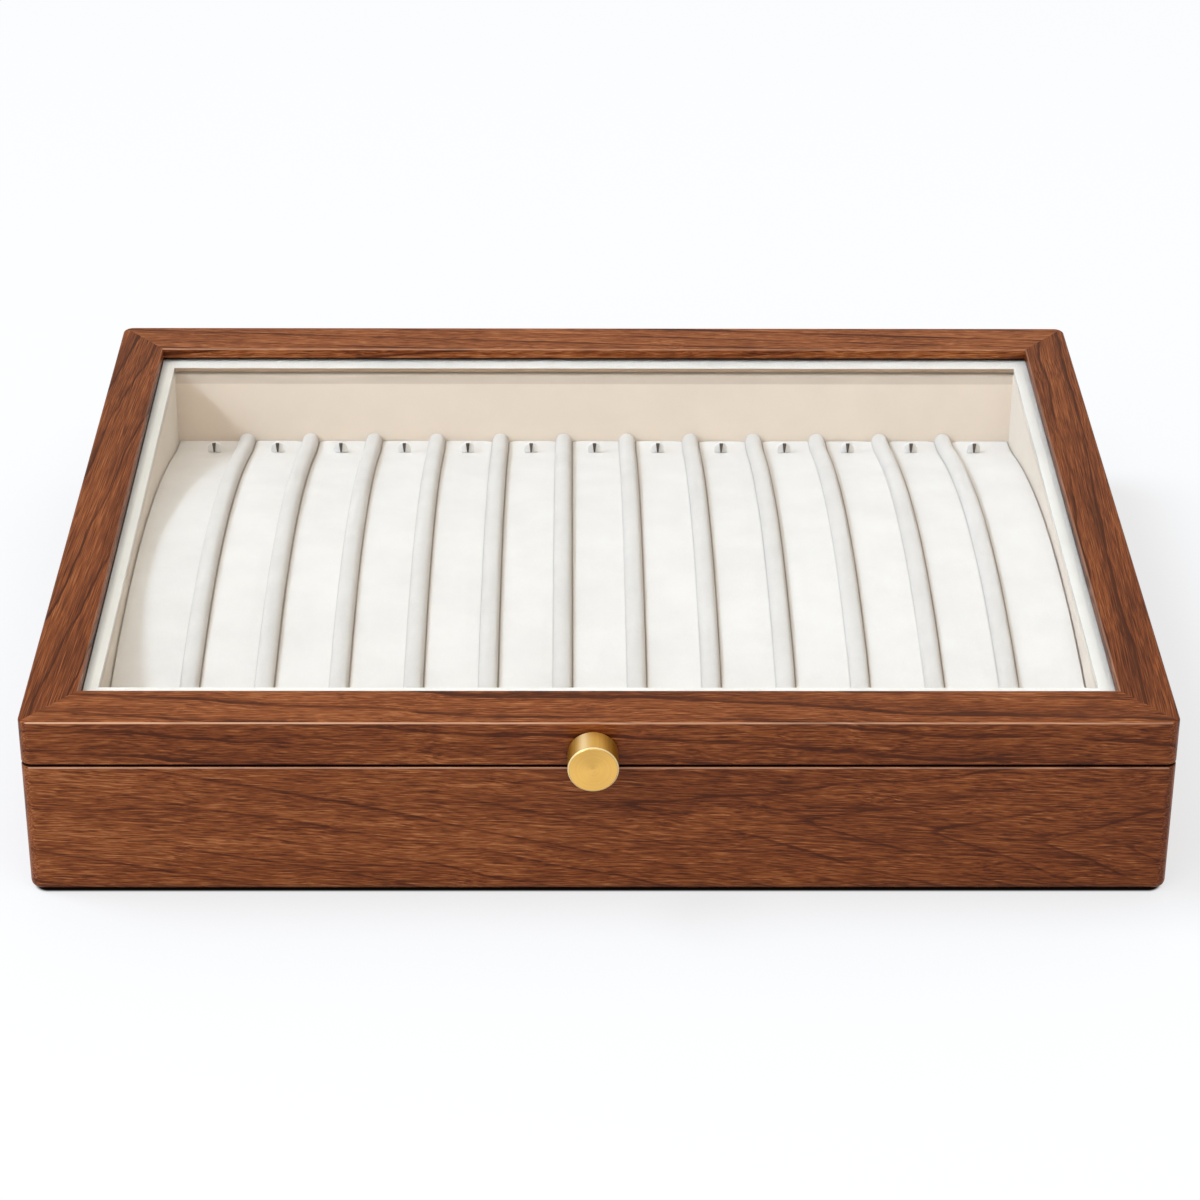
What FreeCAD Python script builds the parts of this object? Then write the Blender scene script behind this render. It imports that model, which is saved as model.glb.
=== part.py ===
import FreeCAD, Part
import math
import os
import re

# Glass top jewelry box: a walnut case with a hinged glass lid over a curved
# necklace pad. Millimetres, +Z up, front at -Y, origin on the table under the
# middle of the case.

# Driving sizes

SIZES = {
    # the closed case
    "box_width": 350.0,
    "box_depth": 290.0,
    "base_height": 44.9,
    "seam_gap": 0.7,
    "lid_height": 14.9,
    "side_wall": 16.2,
    "end_wall": 19.4,
    "corner_radius": 3.6,
    "foot_round": 2.5,
    "seam_round": 0.5,
    "top_round": 0.8,
    "rim_round": 0.5,
    "overcut": 1.0,
    # bumper dots in the seam
    "bumper_radius": 3.0,
    "bumper_play": 0.1,
    "bumper_spread": 220.0,
    # bottom
    "felt_thickness": 1.5,
    "felt_proud": 0.5,
    "felt_margin": 4.0,
    "panel_thickness": 5.0,
    "panel_rebate": 6.0,
    "panel_play": 0.2,
    # suede lining boards
    "lining_side": 4.6,
    "lining_end": 5.3,
    "lining_rise": 7.5,
    "lining_round": 1.2,
    # glass and its retainers
    "lip_height": 3.5,
    "glass_thickness": 2.0,
    "glass_rebate": 4.5,
    "glass_play": 0.4,
    "flange_thickness": 1.5,
    "flange_side": 4.6,
    "flange_back": 6.0,
    "flange_front": 10.3,
    "flange_step": 0.5,
    "step_reach": 1.4,
    "leg_thickness": 2.0,
    "retainer_play": 0.2,
    "retainer_lift": 0.5,
    # necklace pad
    "pad_play": 0.3,
    "pad_skin": 5.0,
    "layer_gap": 0.2,
    "pad_edge_round": 1.5,
    "crest_gap": 6.7,
    "crest_forward": 27.0,
    "ledge_rise": 19.1,
    "ledge_length": 14.0,
    "ledge_angle": -8.5,
    "valley_radius": 70.0,
    # rolled dividers and hooks
    "divider_margin": 13.2,
    "divider_radius": 2.95,
    "roll_gap": 0.15,
    "hook_margin": 14.7,
    "hook_forward": 17.3,
    "tab_radius": 2.3,
    "tab_height": 4.6,
    "tab_thickness": 1.2,
    "pin_height": 3.4,
    "pin_wide": 1.3,
    "pin_narrow": 0.5,
    "pin_depth": 0.8,
    # knob
    "knob_radius": 7.7,
    "knob_length": 9.6,
    "knob_standoff": 0.6,
    "knob_neck_radius": 4.0,
    "knob_lift": 4.4,
    "knob_offset": -2.0,
    "knob_chamfer": 0.5,
    "knob_back_chamfer": 0.3,
    "screw_radius": 1.5,
    "screw_play": 0.05,
    "screw_reach": 6.0,
    "screw_head_radius": 2.8,
    "screw_head_height": 1.8,
    "screw_head_sink": 2.2,
    "screw_head_play": 0.3,
    # hinges
    "hinge_inset": 3.5,
    "hinge_spread": 200.0,
    "hinge_length": 30.0,
    "stop_angle": 96.0,
    "barrel_radius": 2.2,
    "barrel_play": 0.3,
    "hinge_pin_radius": 1.0,
    "hinge_pin_play": 0.05,
    "knuckle_gap": 0.2,
    "leaf_thickness": 1.0,
    "leaf_gap": 0.2,
    "leaf_depth": 10.5,
    "leaf_play": 0.1,
    "wood_screw_radius": 1.0,
    "wood_screw_length": 7.0,
    "wood_screw_head_radius": 1.9,
    "wood_screw_head_height": 0.9,
    "wood_screw_play": 0.05,
    "wood_screw_spread": 20.0,
    "wood_screw_inset": 6.5,
    # magnets
    "magnet_radius": 3.0,
    "magnet_thickness": 2.0,
    "magnet_play": 0.1,
    "magnet_spread": 120.0,
}

DIVIDERS = 12
HOOKS = DIVIDERS + 1

# Places worked out from them

PLACES = {
    "half_width": "box_width / 2",
    "half_depth": "box_depth / 2",
    "inner_x": "half_width - side_wall",
    "inner_y": "half_depth - end_wall",
    "lid_bottom": "base_height + seam_gap",
    "box_height": "lid_bottom + lid_height",
    "glass_top": "box_height - lip_height",
    "glass_bottom": "glass_top - glass_thickness",
    "rebate_x": "inner_x + glass_rebate",
    "rebate_y": "inner_y + glass_rebate",
    "panel_bottom": "felt_thickness",
    "panel_top": "felt_thickness + panel_thickness",
    "panel_x": "inner_x + panel_rebate",
    "panel_y": "inner_y + panel_rebate",
    "lining_top": "base_height + lining_rise",
    "cavity_x": "inner_x - lining_side",
    "cavity_y": "inner_y - lining_end",
    "retainer_x": "rebate_x - retainer_play",
    "retainer_y": "rebate_y - retainer_play",
    "retainer_foot": "lid_bottom + retainer_lift",
    "retainer_height": "glass_bottom - retainer_foot",
    "axis_y": "half_depth - hinge_inset",
    "axis_z": "base_height + seam_gap / 2",
    "hinge_x": "hinge_spread / 2",
    "bevel_angle": "stop_angle / 2",
    "bevel_reach": "3 * hinge_inset",
    "bore_radius": "hinge_pin_radius + hinge_pin_play",
    "knuckle_length": "(hinge_length - 2 * knuckle_gap) / 3",
    "pad_x": "cavity_x - pad_play",
    "pad_back": "cavity_y - pad_play",
    "crest_height": "glass_bottom - crest_gap",
    "ledge_height": "panel_top + ledge_rise",
    "crown_drop": "crest_height - ledge_height + ledge_length * tan(ledge_angle * 1deg)",
    "crown_run": "pad_back - ledge_length + crest_forward",
    "crown_radius": "(crown_run ^ 2 + crown_drop ^ 2) / (2 * crown_drop)",
    "divider_pitch": "2 * (pad_x - divider_margin) / %d" % DIVIDERS,
    "hook_pitch": "2 * (pad_x - hook_margin) / %d" % DIVIDERS,
    "tab_y": "cavity_y - hook_forward",
    "tab_top": "ledge_height - hook_forward * tan(ledge_angle * 1deg) + tab_height",
    "knob_height": "lid_bottom + knob_lift",
    "magnet_y": "-(half_depth + rebate_y) / 2",
}

# Two lengths closer than this are the same
TINY = 0.01

doc = FreeCAD.newDocument("jewelry_box")
sheet = doc.addObject("Spreadsheet::Sheet", "sizes")
for row, (alias, number) in enumerate(SIZES.items(), start=1):
    sheet.set("A%d" % row, alias)
    sheet.set("B%d" % row, str(number))
    sheet.setAlias("B%d" % row, alias)
for row, (alias, formula) in enumerate(PLACES.items(), start=1):
    sheet.set("C%d" % row, alias)
    sheet.set("D%d" % row, "=" + formula)
    sheet.setAlias("D%d" % row, alias)
doc.recompute()


def size(alias):
    """The number that a cell of the sheet holds."""
    return float(sheet.get(alias))


def on_sheet(formula):
    """The formula with each alias written as a reference to the sheet."""
    def reference(match):
        word = match.group()
        return "sizes." + word if word in SIZES or word in PLACES else word
    return re.sub(r"[a-z][a-z_]*", reference, formula)


def bind(piece, **formulas):
    """Ties properties to formulas; a double underscore stands for a dot."""
    for name, formula in formulas.items():
        piece.setExpression(name.replace("__", "."), on_sheet(formula))
    return piece


PARTS = []


def node(label, piece):
    """Makes the object one of the sub-parts, under its own label."""
    piece.Label = label
    PARTS.append(piece)
    return piece


# Shapes used by many pieces


def span(piece, x, y, z):
    """Gives a box its two ends along X, Y and Z."""
    return bind(
        piece,
        Length="(%s) - (%s)" % (x[1], x[0]),
        Width="(%s) - (%s)" % (y[1], y[0]),
        Height="(%s) - (%s)" % (z[1], z[0]),
        Placement__Base__x=x[0],
        Placement__Base__y=y[0],
        Placement__Base__z=z[0],
    )


def block(name, x, y, z):
    return span(doc.addObject("Part::Box", name), x, y, z)


X_AXIS = FreeCAD.Vector(1, 0, 0)
Y_AXIS = FreeCAD.Vector(0, 1, 0)
Z_AXIS = FreeCAD.Vector(0, 0, 1)
TURNS = {
    "x": FreeCAD.Rotation(Y_AXIS, 90),
    "-y": FreeCAD.Rotation(X_AXIS, 90),
    "y": FreeCAD.Rotation(X_AXIS, -90),
    "z": FreeCAD.Rotation(),
    "-z": FreeCAD.Rotation(X_AXIS, 180),
}


def stand(piece, start, along):
    """Puts a round piece's foot at start and points it along an axis."""
    piece.Placement.Rotation = TURNS[along]
    return bind(
        piece,
        Placement__Base__x=start[0],
        Placement__Base__y=start[1],
        Placement__Base__z=start[2],
    )


def rod(name, radius, length, start, along):
    piece = doc.addObject("Part::Cylinder", name)
    bind(piece, Radius=radius, Height=length)
    return stand(piece, start, along)


def cone(name, foot_radius, top_radius, length, start, along):
    piece = doc.addObject("Part::Cone", name)
    bind(piece, Radius1=foot_radius, Radius2=top_radius, Height=length)
    return stand(piece, start, along)


def fuse(name, pieces):
    piece = doc.addObject("Part::MultiFuse", name)
    piece.Shapes = pieces
    return piece


def group(name, pieces):
    piece = doc.addObject("Part::Compound", name)
    piece.Links = pieces
    return piece


def cut(name, base, tools):
    piece = doc.addObject("Part::Cut", name)
    piece.Base = base
    piece.Tool = tools[0] if len(tools) == 1 else group(name + "_cutters", tools)
    return piece


def edges_where(shape, test):
    """Names of the edges whose bounding box passes the test."""
    return ["Edge%d" % n for n, edge in enumerate(shape.Edges, start=1) if test(edge.BoundBox)]


def round_edges(body, test, radius):
    """Rounds the edges of a body's last feature that pass the test."""
    doc.recompute()
    last = body.Tip
    feature = body.newObject("PartDesign::Fillet", body.Name + "_round")
    feature.Base = (last, edges_where(last.Shape, test))
    return bind(feature, Radius=radius)


def carve(body, x, y, z):
    """Takes a box out of a body, given in the body's own frame."""
    return span(body.newObject("PartDesign::SubtractiveBox", body.Name + "_carve"), x, y, z)


def blank(name, half_x, half_y, height, foot):
    """A body that starts as one box, centred, standing at its foot height."""
    body = doc.addObject("PartDesign::Body", name)
    bind(body, Placement__Base__z=foot)
    span(
        body.newObject("PartDesign::AdditiveBox", name + "_box"),
        ("-(%s)" % half_x, half_x),
        ("-(%s)" % half_y, half_y),
        ("0", height),
    )
    return body


def is_upright(box):
    return box.ZLength > TINY and box.XLength < TINY and box.YLength < TINY


# Mitred frames: a ring is cut into four at its corners

SIDES = {"front": 0, "right": 90, "back": 180, "left": 270}


def mitre(label, ring, side, outer, inner):
    """One side of a ring. outer is (x, y); inner is (x, front y, back y)."""
    outer_x, outer_y = outer
    inner_x, inner_front, inner_back = inner
    spans = {
        "front": (outer_y, inner_front, outer_x, inner_x, inner_x),
        "back": (outer_y, inner_back, outer_x, inner_x, inner_x),
        "right": (outer_x, inner_x, outer_y, inner_front, inner_back),
        "left": (outer_x, inner_x, outer_y, inner_back, inner_front),
    }
    outside, inside, reach, short_low, short_high = spans[side]
    wedge = doc.addObject("Part::Wedge", label + "_mitre")
    wedge.Placement.Rotation = FreeCAD.Rotation(Z_AXIS, SIDES[side])
    bind(
        wedge,
        Ymin="-(%s)" % outside,
        Ymax="-(%s)" % inside,
        Xmin="-(%s)" % reach,
        Xmax=reach,
        X2min="-(%s)" % short_low,
        X2max=short_high,
        Zmin="0",
        Zmax="box_height",
        Z2min="0",
        Z2max="box_height",
    )
    piece = doc.addObject("Part::Common", label)
    piece.Base = ring
    piece.Tool = wedge
    return piece


# A bevel on both back edges: the two meet when the lid is fully open, and stop it


def bevel(name, angle):
    """A long square bar with one edge on the hinge axis, turned about it."""
    piece = doc.addObject("Part::Box", name)
    piece.Placement.Rotation = TURNS["-y"]
    return bind(
        piece,
        Length="box_width",
        Width="bevel_reach",
        Height="bevel_reach",
        Placement__Rotation__Angle=angle,
        Placement__Base__x="-half_width",
        Placement__Base__y="axis_y",
        Placement__Base__z="axis_z",
    )


# Base walls

WALL_OUTER = ("half_width", "half_depth")
WALL_INNER = ("inner_x", "inner_y", "inner_y")

base_ring = blank("base_ring", "half_width", "half_depth", "base_height - felt_proud", "felt_proud")
round_edges(base_ring, is_upright, "corner_radius")
carve(
    base_ring,
    ("-inner_x", "inner_x"),
    ("-inner_y", "inner_y"),
    ("-overcut", "base_height"),
)
carve(
    base_ring,
    ("-panel_x - panel_play", "panel_x + panel_play"),
    ("-panel_y - panel_play", "panel_y + panel_play"),
    ("-overcut", "panel_top - felt_proud"),
)


def is_outer(box, half_x, half_y):
    middle = box.Center
    return abs(middle.x) > size(half_x) or abs(middle.y) > size(half_y)


def outer_at(height, half_x, half_y):
    """A test for the edges of the outline at one height of a ring."""
    def test(box):
        level = abs(box.ZMin - height) < TINY and box.ZLength < TINY
        return level and is_outer(box, half_x, half_y)
    return test


round_edges(base_ring, outer_at(0, "panel_x", "panel_y"), "foot_round")
round_edges(
    base_ring,
    outer_at(size("base_height") - size("felt_proud"), "inner_x", "inner_y"),
    "seam_round",
)

bevelled_base = cut("bevelled_base", base_ring, [bevel("base_bevel", "-bevel_angle")])

base_walls = {}
for side in SIDES:
    base_walls[side] = mitre("base_%s_plain" % side, bevelled_base, side, WALL_OUTER, WALL_INNER)

# Lid rails: a ring with a rebate from below for the glass

lid_ring = blank("lid_ring", "half_width", "half_depth", "lid_height", "lid_bottom")
round_edges(lid_ring, is_upright, "corner_radius")
carve(
    lid_ring,
    ("-inner_x", "inner_x"),
    ("-inner_y", "inner_y"),
    ("-overcut", "lid_height + overcut"),
)
carve(
    lid_ring,
    ("-rebate_x", "rebate_x"),
    ("-rebate_y", "rebate_y"),
    ("-overcut", "lid_height - lip_height"),
)


LID_HEIGHT = size("lid_height")
round_edges(lid_ring, outer_at(0, "rebate_x", "rebate_y"), "seam_round")
round_edges(lid_ring, outer_at(LID_HEIGHT, "inner_x", "inner_y"), "top_round")

bevelled_lid = cut("bevelled_lid", lid_ring, [bevel("lid_bevel", "bevel_angle - 90")])

lid_rails = {}
for side in SIDES:
    lid_rails[side] = mitre("lid_%s_plain" % side, bevelled_lid, side, WALL_OUTER, WALL_INNER)


def rim_bar(side):
    """What a rounding bit takes off a rail's inner top edge."""
    crosswise = side in ("front", "back")
    inner = "inner_y" if crosswise else "inner_x"
    run = "inner_x + rim_round" if crosswise else "inner_y + rim_round"
    low = "box_height - rim_round"
    if side in ("front", "left"):
        core = "-%s - rim_round" % inner
        across = (core, "-" + inner)
    else:
        core = inner + " + rim_round"
        across = (inner, core)
    along = ("-(%s)" % run, run)
    x, y = (along, across) if crosswise else (across, along)
    foot = (along[0], core, low) if crosswise else (core, along[0], low)
    bar = block("rim_bar_" + side, x, y, (low, "box_height"))
    round_core = rod(
        "rim_core_" + side, "rim_round", "2 * (%s)" % run, foot, "x" if crosswise else "y"
    )
    return cut("rim_cutter_" + side, bar, [round_core])


# Cuts for the hinges, screws and magnets

HINGES = {"left": "-hinge_x", "right": "hinge_x"}


def hinge_cuts(prefix, leaf_z):
    """Groove for the barrel and mortise for the leaf, at both hinges."""
    tools = []
    for hand, middle in HINGES.items():
        start = "%s - hinge_length / 2 - leaf_play" % middle
        end = "%s + hinge_length / 2 + leaf_play" % middle
        tools.append(
            rod(
                "%s_groove_%s" % (prefix, hand),
                "barrel_radius + barrel_play",
                "hinge_length + 2 * leaf_play",
                (start, "axis_y", "axis_z"),
                "x",
            )
        )
        tools.append(
            block(
                "%s_mortise_%s" % (prefix, hand),
                (start, end),
                ("axis_y - leaf_depth - leaf_play", "axis_y"),
                leaf_z,
            )
        )
    return tools


SCREW_SPOTS = [
    "%s %s wood_screw_spread / 2" % (middle, sign) for middle in HINGES.values() for sign in "-+"
]
SCREW_Y = "axis_y - wood_screw_inset"
BASE_LEAF_TOP = "axis_z - leaf_gap / 2"
LID_LEAF_FOOT = "axis_z + leaf_gap / 2"


def pilot_holes(prefix, height, along):
    """Holes in the wood for the hinge screws."""
    return [
        rod(
            "%s_pilot_%d" % (prefix, n),
            "wood_screw_radius + wood_screw_play",
            "wood_screw_length + wood_screw_play",
            (spot, SCREW_Y, height),
            along,
        )
        for n, spot in enumerate(SCREW_SPOTS, start=1)
    ]


def magnet_pockets(prefix, height, along):
    """Pockets for the closing magnets, one each side of the knob."""
    return [
        rod(
            "%s_pocket_%d" % (prefix, n),
            "magnet_radius + magnet_play",
            "magnet_thickness + 2 * magnet_play",
            (spot, "magnet_y", height),
            along,
        )
        for n, spot in enumerate(("-magnet_spread / 2", "magnet_spread / 2"), start=1)
    ]


KNOB_AXIS = ("knob_offset", "knob_height")


def knob_rod(name, radius, length, start_y):
    """A round along the knob's axis, running forward from start_y."""
    return rod(name, radius, length, (KNOB_AXIS[0], start_y, KNOB_AXIS[1]), "-y")


node(
    "base_wall_front",
    cut("base_wall_front_cut", base_walls["front"], magnet_pockets("base", "base_height", "-z")),
)
node(
    "base_wall_back",
    cut(
        "base_wall_back_cut",
        base_walls["back"],
        hinge_cuts("base", (BASE_LEAF_TOP + " - leaf_thickness", "base_height + overcut"))
        + pilot_holes("base", BASE_LEAF_TOP, "-z"),
    ),
)
node("base_wall_left", base_walls["left"])
node("base_wall_right", base_walls["right"])

rail_front_cuts = [rim_bar("front")] + magnet_pockets("lid", "lid_bottom", "z")
rail_front_cuts.append(
    knob_rod("rail_screw_hole", "screw_radius + screw_play", "end_wall", "-rebate_y")
)
rail_front_cuts.append(
    knob_rod("rail_counterbore", "screw_head_radius + screw_head_play", "screw_head_sink", "-rebate_y")
)
node("lid_rail_front", cut("lid_rail_front_cut", lid_rails["front"], rail_front_cuts))
node(
    "lid_rail_back",
    cut(
        "lid_rail_back_cut",
        lid_rails["back"],
        [rim_bar("back")]
        + hinge_cuts("lid", ("lid_bottom - overcut", LID_LEAF_FOOT + " + leaf_thickness"))
        + pilot_holes("lid", LID_LEAF_FOOT, "z"),
    ),
)
for side in ("left", "right"):
    label = "lid_rail_" + side
    node(label, cut(label + "_cut", lid_rails[side], [rim_bar(side)]))

# Bottom of the case

node(
    "bottom_panel",
    block(
        "panel",
        ("-panel_x", "panel_x"),
        ("-panel_y", "panel_y"),
        ("panel_bottom", "panel_top"),
    ),
)
node(
    "felt_sheet",
    block(
        "felt",
        ("-panel_x + felt_margin", "panel_x - felt_margin"),
        ("-panel_y + felt_margin", "panel_y - felt_margin"),
        ("0", "felt_thickness"),
    ),
)

# Suede lining boards, standing on the panel and proud of the walls

for side, sign in (("left", "-"), ("right", "")):
    far = sign + "inner_x"
    near = sign + "cavity_x"
    board = blank(
        "lining_%s_body" % side,
        "lining_side / 2",
        "inner_y",
        "lining_top - panel_top",
        "panel_top",
    )
    bind(board, Placement__Base__x="(%s + %s) / 2" % (far, near))
    round_edges(board, lambda box: box.ZMin > TINY and box.YLength > TINY, "lining_round")
    node("lining_%s" % side, board)
for side, sign in (("front", "-"), ("back", "")):
    board = blank(
        "lining_%s_body" % side,
        "cavity_x",
        "lining_end / 2",
        "lining_top - panel_top",
        "panel_top",
    )
    bind(board, Placement__Base__y="(%sinner_y + %scavity_y) / 2" % (sign, sign))
    round_edges(board, lambda box: box.ZMin > TINY and box.XLength > TINY, "lining_round")
    node("lining_%s" % side, board)

# Glass and its four white retainers

node(
    "glass_pane",
    block(
        "glass",
        ("-rebate_x + glass_play", "rebate_x - glass_play"),
        ("-rebate_y + glass_play", "rebate_y - glass_play"),
        ("glass_bottom", "glass_top"),
    ),
)

FLANGE_INNER = ("inner_x - flange_side", "inner_y - flange_front", "inner_y - flange_back")
retainer_ring = blank(
    "retainer_ring", "retainer_x", "retainer_y", "retainer_height", "retainer_foot"
)
carve(
    retainer_ring,
    ("-retainer_x + leg_thickness", "retainer_x - leg_thickness"),
    ("-retainer_y + leg_thickness", "retainer_y - leg_thickness"),
    ("-overcut", "retainer_height - flange_thickness"),
)
carve(
    retainer_ring,
    ("-(%s)" % FLANGE_INNER[0], FLANGE_INNER[0]),
    ("-(%s)" % FLANGE_INNER[1], FLANGE_INNER[2]),
    ("-overcut", "retainer_height + overcut"),
)
step_slab = block(
    "step_slab",
    ("-rebate_x", "rebate_x"),
    ("-rebate_y", "rebate_y"),
    ("glass_bottom - flange_step", "glass_top"),
)
step_core = block(
    "step_core",
    ("-inner_x + step_reach", "inner_x - step_reach"),
    ("-inner_y + step_reach", "inner_y - step_reach"),
    ("glass_bottom - flange_thickness", "glass_top"),
)
stepped_ring = cut("stepped_ring", retainer_ring, [cut("step_band", step_slab, [step_core])])
for side in SIDES:
    label = "glass_retainer_%s" % side
    node(label, mitre(label + "_cut", stepped_ring, side, ("retainer_x", "retainer_y"), FLANGE_INNER))

# Knob, turned along its own Z and laid to face the front

knob = doc.addObject("PartDesign::Body", "knob_body")
knob.Placement.Rotation = TURNS["-y"]
bind(
    knob,
    Placement__Base__x="knob_offset",
    Placement__Base__y="-half_depth",
    Placement__Base__z="knob_height",
)
neck = knob.newObject("PartDesign::AdditiveCylinder", "knob_neck")
bind(neck, Radius="knob_neck_radius", Height="knob_standoff + knob_length / 2")
head = knob.newObject("PartDesign::AdditiveCylinder", "knob_head")
bind(head, Radius="knob_radius", Height="knob_length", Placement__Base__z="knob_standoff")
thread = knob.newObject("PartDesign::SubtractiveCylinder", "knob_thread")
bind(thread, Radius="screw_radius + screw_play", Height="knob_standoff + screw_reach")


def knob_edges(height):
    """A test for the knob head's outer edge at one height."""
    neck = 2 * size("knob_neck_radius")
    return lambda box: abs(box.ZMin - height) < TINY and box.XLength > neck + TINY


def chamfer_knob(height, amount):
    doc.recompute()
    last = knob.Tip
    feature = knob.newObject("PartDesign::Chamfer", "knob_chamfer")
    feature.Base = (last, edges_where(last.Shape, knob_edges(height)))
    bind(feature, Size=amount)


chamfer_knob(size("knob_standoff") + size("knob_length"), "knob_chamfer")
chamfer_knob(size("knob_standoff"), "knob_back_chamfer")
node("knob", knob)

screw_start = "-rebate_y - screw_head_sink"
node(
    "knob_screw",
    fuse(
        "knob_screw_fuse",
        [
            knob_rod(
                "knob_screw_head",
                "screw_head_radius",
                "screw_head_height",
                screw_start + " + screw_head_height",
            ),
            knob_rod(
                "knob_screw_shank",
                "screw_radius",
                "end_wall - glass_rebate - screw_head_sink + knob_standoff + screw_reach - screw_play",
                screw_start,
            ),
        ],
    ),
)

# Hinges: the base leaf has the two end knuckles, the lid leaf the middle one


def knuckle(name, start):
    return rod(name, "barrel_radius", "knuckle_length", (start, "axis_y", "axis_z"), "x")


def leaf(label, middle, spans, low, high):
    """A leaf with a knuckle over each span, bored for the pin."""
    left = "%s - hinge_length / 2" % middle
    right = "%s + hinge_length / 2" % middle
    solids = [
        block(
            label + "_plate",
            (left, right),
            ("axis_y - leaf_depth", "axis_y - barrel_radius - barrel_play"),
            (low, high),
        )
    ]
    for n, start in enumerate(spans, start=1):
        solids.append(knuckle("%s_knuckle_%d" % (label, n), start))
        solids.append(
            block(
                "%s_web_%d" % (label, n),
                (start, start + " + knuckle_length"),
                ("axis_y - barrel_radius - barrel_play", "axis_y - bore_radius"),
                (low, high),
            )
        )
    tools = [
        rod(
            label + "_bore",
            "bore_radius",
            "hinge_length",
            (left, "axis_y", "axis_z"),
            "x",
        )
    ]
    return solids, tools


def screw_holes(label, middle, height, along):
    """Countersunk holes through a leaf."""
    tools = []
    for n, sign in enumerate("-+", start=1):
        spot = ("%s %s wood_screw_spread / 2" % (middle, sign), SCREW_Y, height)
        tools.append(
            cone(
                "%s_sink_%d" % (label, n),
                "wood_screw_head_radius + wood_screw_play",
                "wood_screw_radius + wood_screw_play",
                "wood_screw_head_height",
                spot,
                along,
            )
        )
        tools.append(
            rod(
                "%s_hole_%d" % (label, n),
                "wood_screw_radius + wood_screw_play",
                "2 * leaf_thickness",
                spot,
                along,
            )
        )
    return tools


for hand, middle in HINGES.items():
    first = "%s - hinge_length / 2" % middle
    second = first + " + knuckle_length + knuckle_gap"
    third = second + " + knuckle_length + knuckle_gap"
    label = "hinge_base_leaf_" + hand
    solids, tools = leaf(
        label, middle, [first, third], BASE_LEAF_TOP + " - leaf_thickness", BASE_LEAF_TOP
    )
    tools += screw_holes(label, middle, BASE_LEAF_TOP, "-z")
    node(label, cut(label + "_cut", fuse(label + "_fuse", solids), tools))
    label = "hinge_lid_leaf_" + hand
    solids, tools = leaf(
        label, middle, [second], LID_LEAF_FOOT, LID_LEAF_FOOT + " + leaf_thickness"
    )
    tools += screw_holes(label, middle, LID_LEAF_FOOT, "z")
    node(label, cut(label + "_cut", fuse(label + "_fuse", solids), tools))

node(
    "hinge_pins",
    group(
        "hinge_pins_group",
        [
            rod(
                "hinge_pin_" + hand,
                "hinge_pin_radius",
                "hinge_length",
                ("%s - hinge_length / 2" % middle, "axis_y", "axis_z"),
                "x",
            )
            for hand, middle in HINGES.items()
        ],
    ),
)


def wood_screw(name, spot, height, along):
    start = (spot, SCREW_Y, height)
    return fuse(
        name,
        [
            cone(
                name + "_head",
                "wood_screw_head_radius",
                "wood_screw_radius",
                "wood_screw_head_height",
                start,
                along,
            ),
            rod(name + "_shank", "wood_screw_radius", "wood_screw_length", start, along),
        ],
    )


for body, height, along in (("base", BASE_LEAF_TOP, "-z"), ("lid", LID_LEAF_FOOT, "z")):
    screws = [
        wood_screw("%s_hinge_screw_%d" % (body, n), spot, height, along)
        for n, spot in enumerate(SCREW_SPOTS, start=1)
    ]
    node("hinge_screws_%s" % body, group("%s_hinge_screws" % body, screws))

# Magnets in the front of base and lid, and the bumper dots in the seam


def magnets(body, height, along):
    return group(
        "%s_magnet_group" % body,
        [
            rod(
                "%s_magnet_%d" % (body, n),
                "magnet_radius",
                "magnet_thickness",
                (spot, "magnet_y", height),
                along,
            )
            for n, spot in enumerate(("-magnet_spread / 2", "magnet_spread / 2"), start=1)
        ],
    )


node("base_magnets", magnets("base", "base_height - magnet_play", "-z"))
node("lid_magnets", magnets("lid", "lid_bottom + magnet_play", "z"))
node(
    "seam_bumpers",
    group(
        "bumper_group",
        [
            rod(
                "bumper_%d" % n,
                "bumper_radius",
                "seam_gap - bumper_play",
                (
                    "%s(half_width + rebate_x) / 2" % across,
                    "%sbumper_spread / 2" % along,
                    "base_height",
                ),
                "z",
            )
            for n, (across, along) in enumerate((("", ""), ("", "-"), ("-", ""), ("-", "-")), start=1)
        ],
    ),
)

# Necklace pad, in the YZ plane: a ledge that rises gently from the back, a wide valley and a
# long crown


def at(y, z):
    return FreeCAD.Vector(0, y, z)


CROWN_CENTRE = at(-size("crest_forward"), size("crest_height") - size("crown_radius"))
LEDGE_TURN = math.radians(size("ledge_angle"))
LEDGE_START = at(size("pad_back"), size("ledge_height"))
LEDGE_DOWN = at(-math.cos(LEDGE_TURN), -math.sin(LEDGE_TURN))
LEDGE_NORMAL = at(-math.sin(LEDGE_TURN), math.cos(LEDGE_TURN))


def valley_centre():
    """The point that is a valley radius above both the ledge and the crown."""
    above_ledge = LEDGE_START + LEDGE_NORMAL * size("valley_radius")
    reach = size("crown_radius") + size("valley_radius")
    gap = above_ledge - CROWN_CENTRE
    along = gap.dot(LEDGE_DOWN)
    return above_ledge + LEDGE_DOWN * (
        -along - math.sqrt(along ** 2 - gap.dot(gap) + reach ** 2)
    )


def angle_of(point, centre):
    return math.atan2(point.z - centre.z, point.y - centre.y)


def arc(centre, radius, start, end):
    """An arc about centre from one angle to another, in the YZ plane."""
    def spot(angle):
        return centre + at(radius * math.cos(angle), radius * math.sin(angle))
    return Part.Arc(spot(start), spot((start + end) / 2), spot(end)).toShape()


VALLEY_CENTRE = valley_centre()


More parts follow.
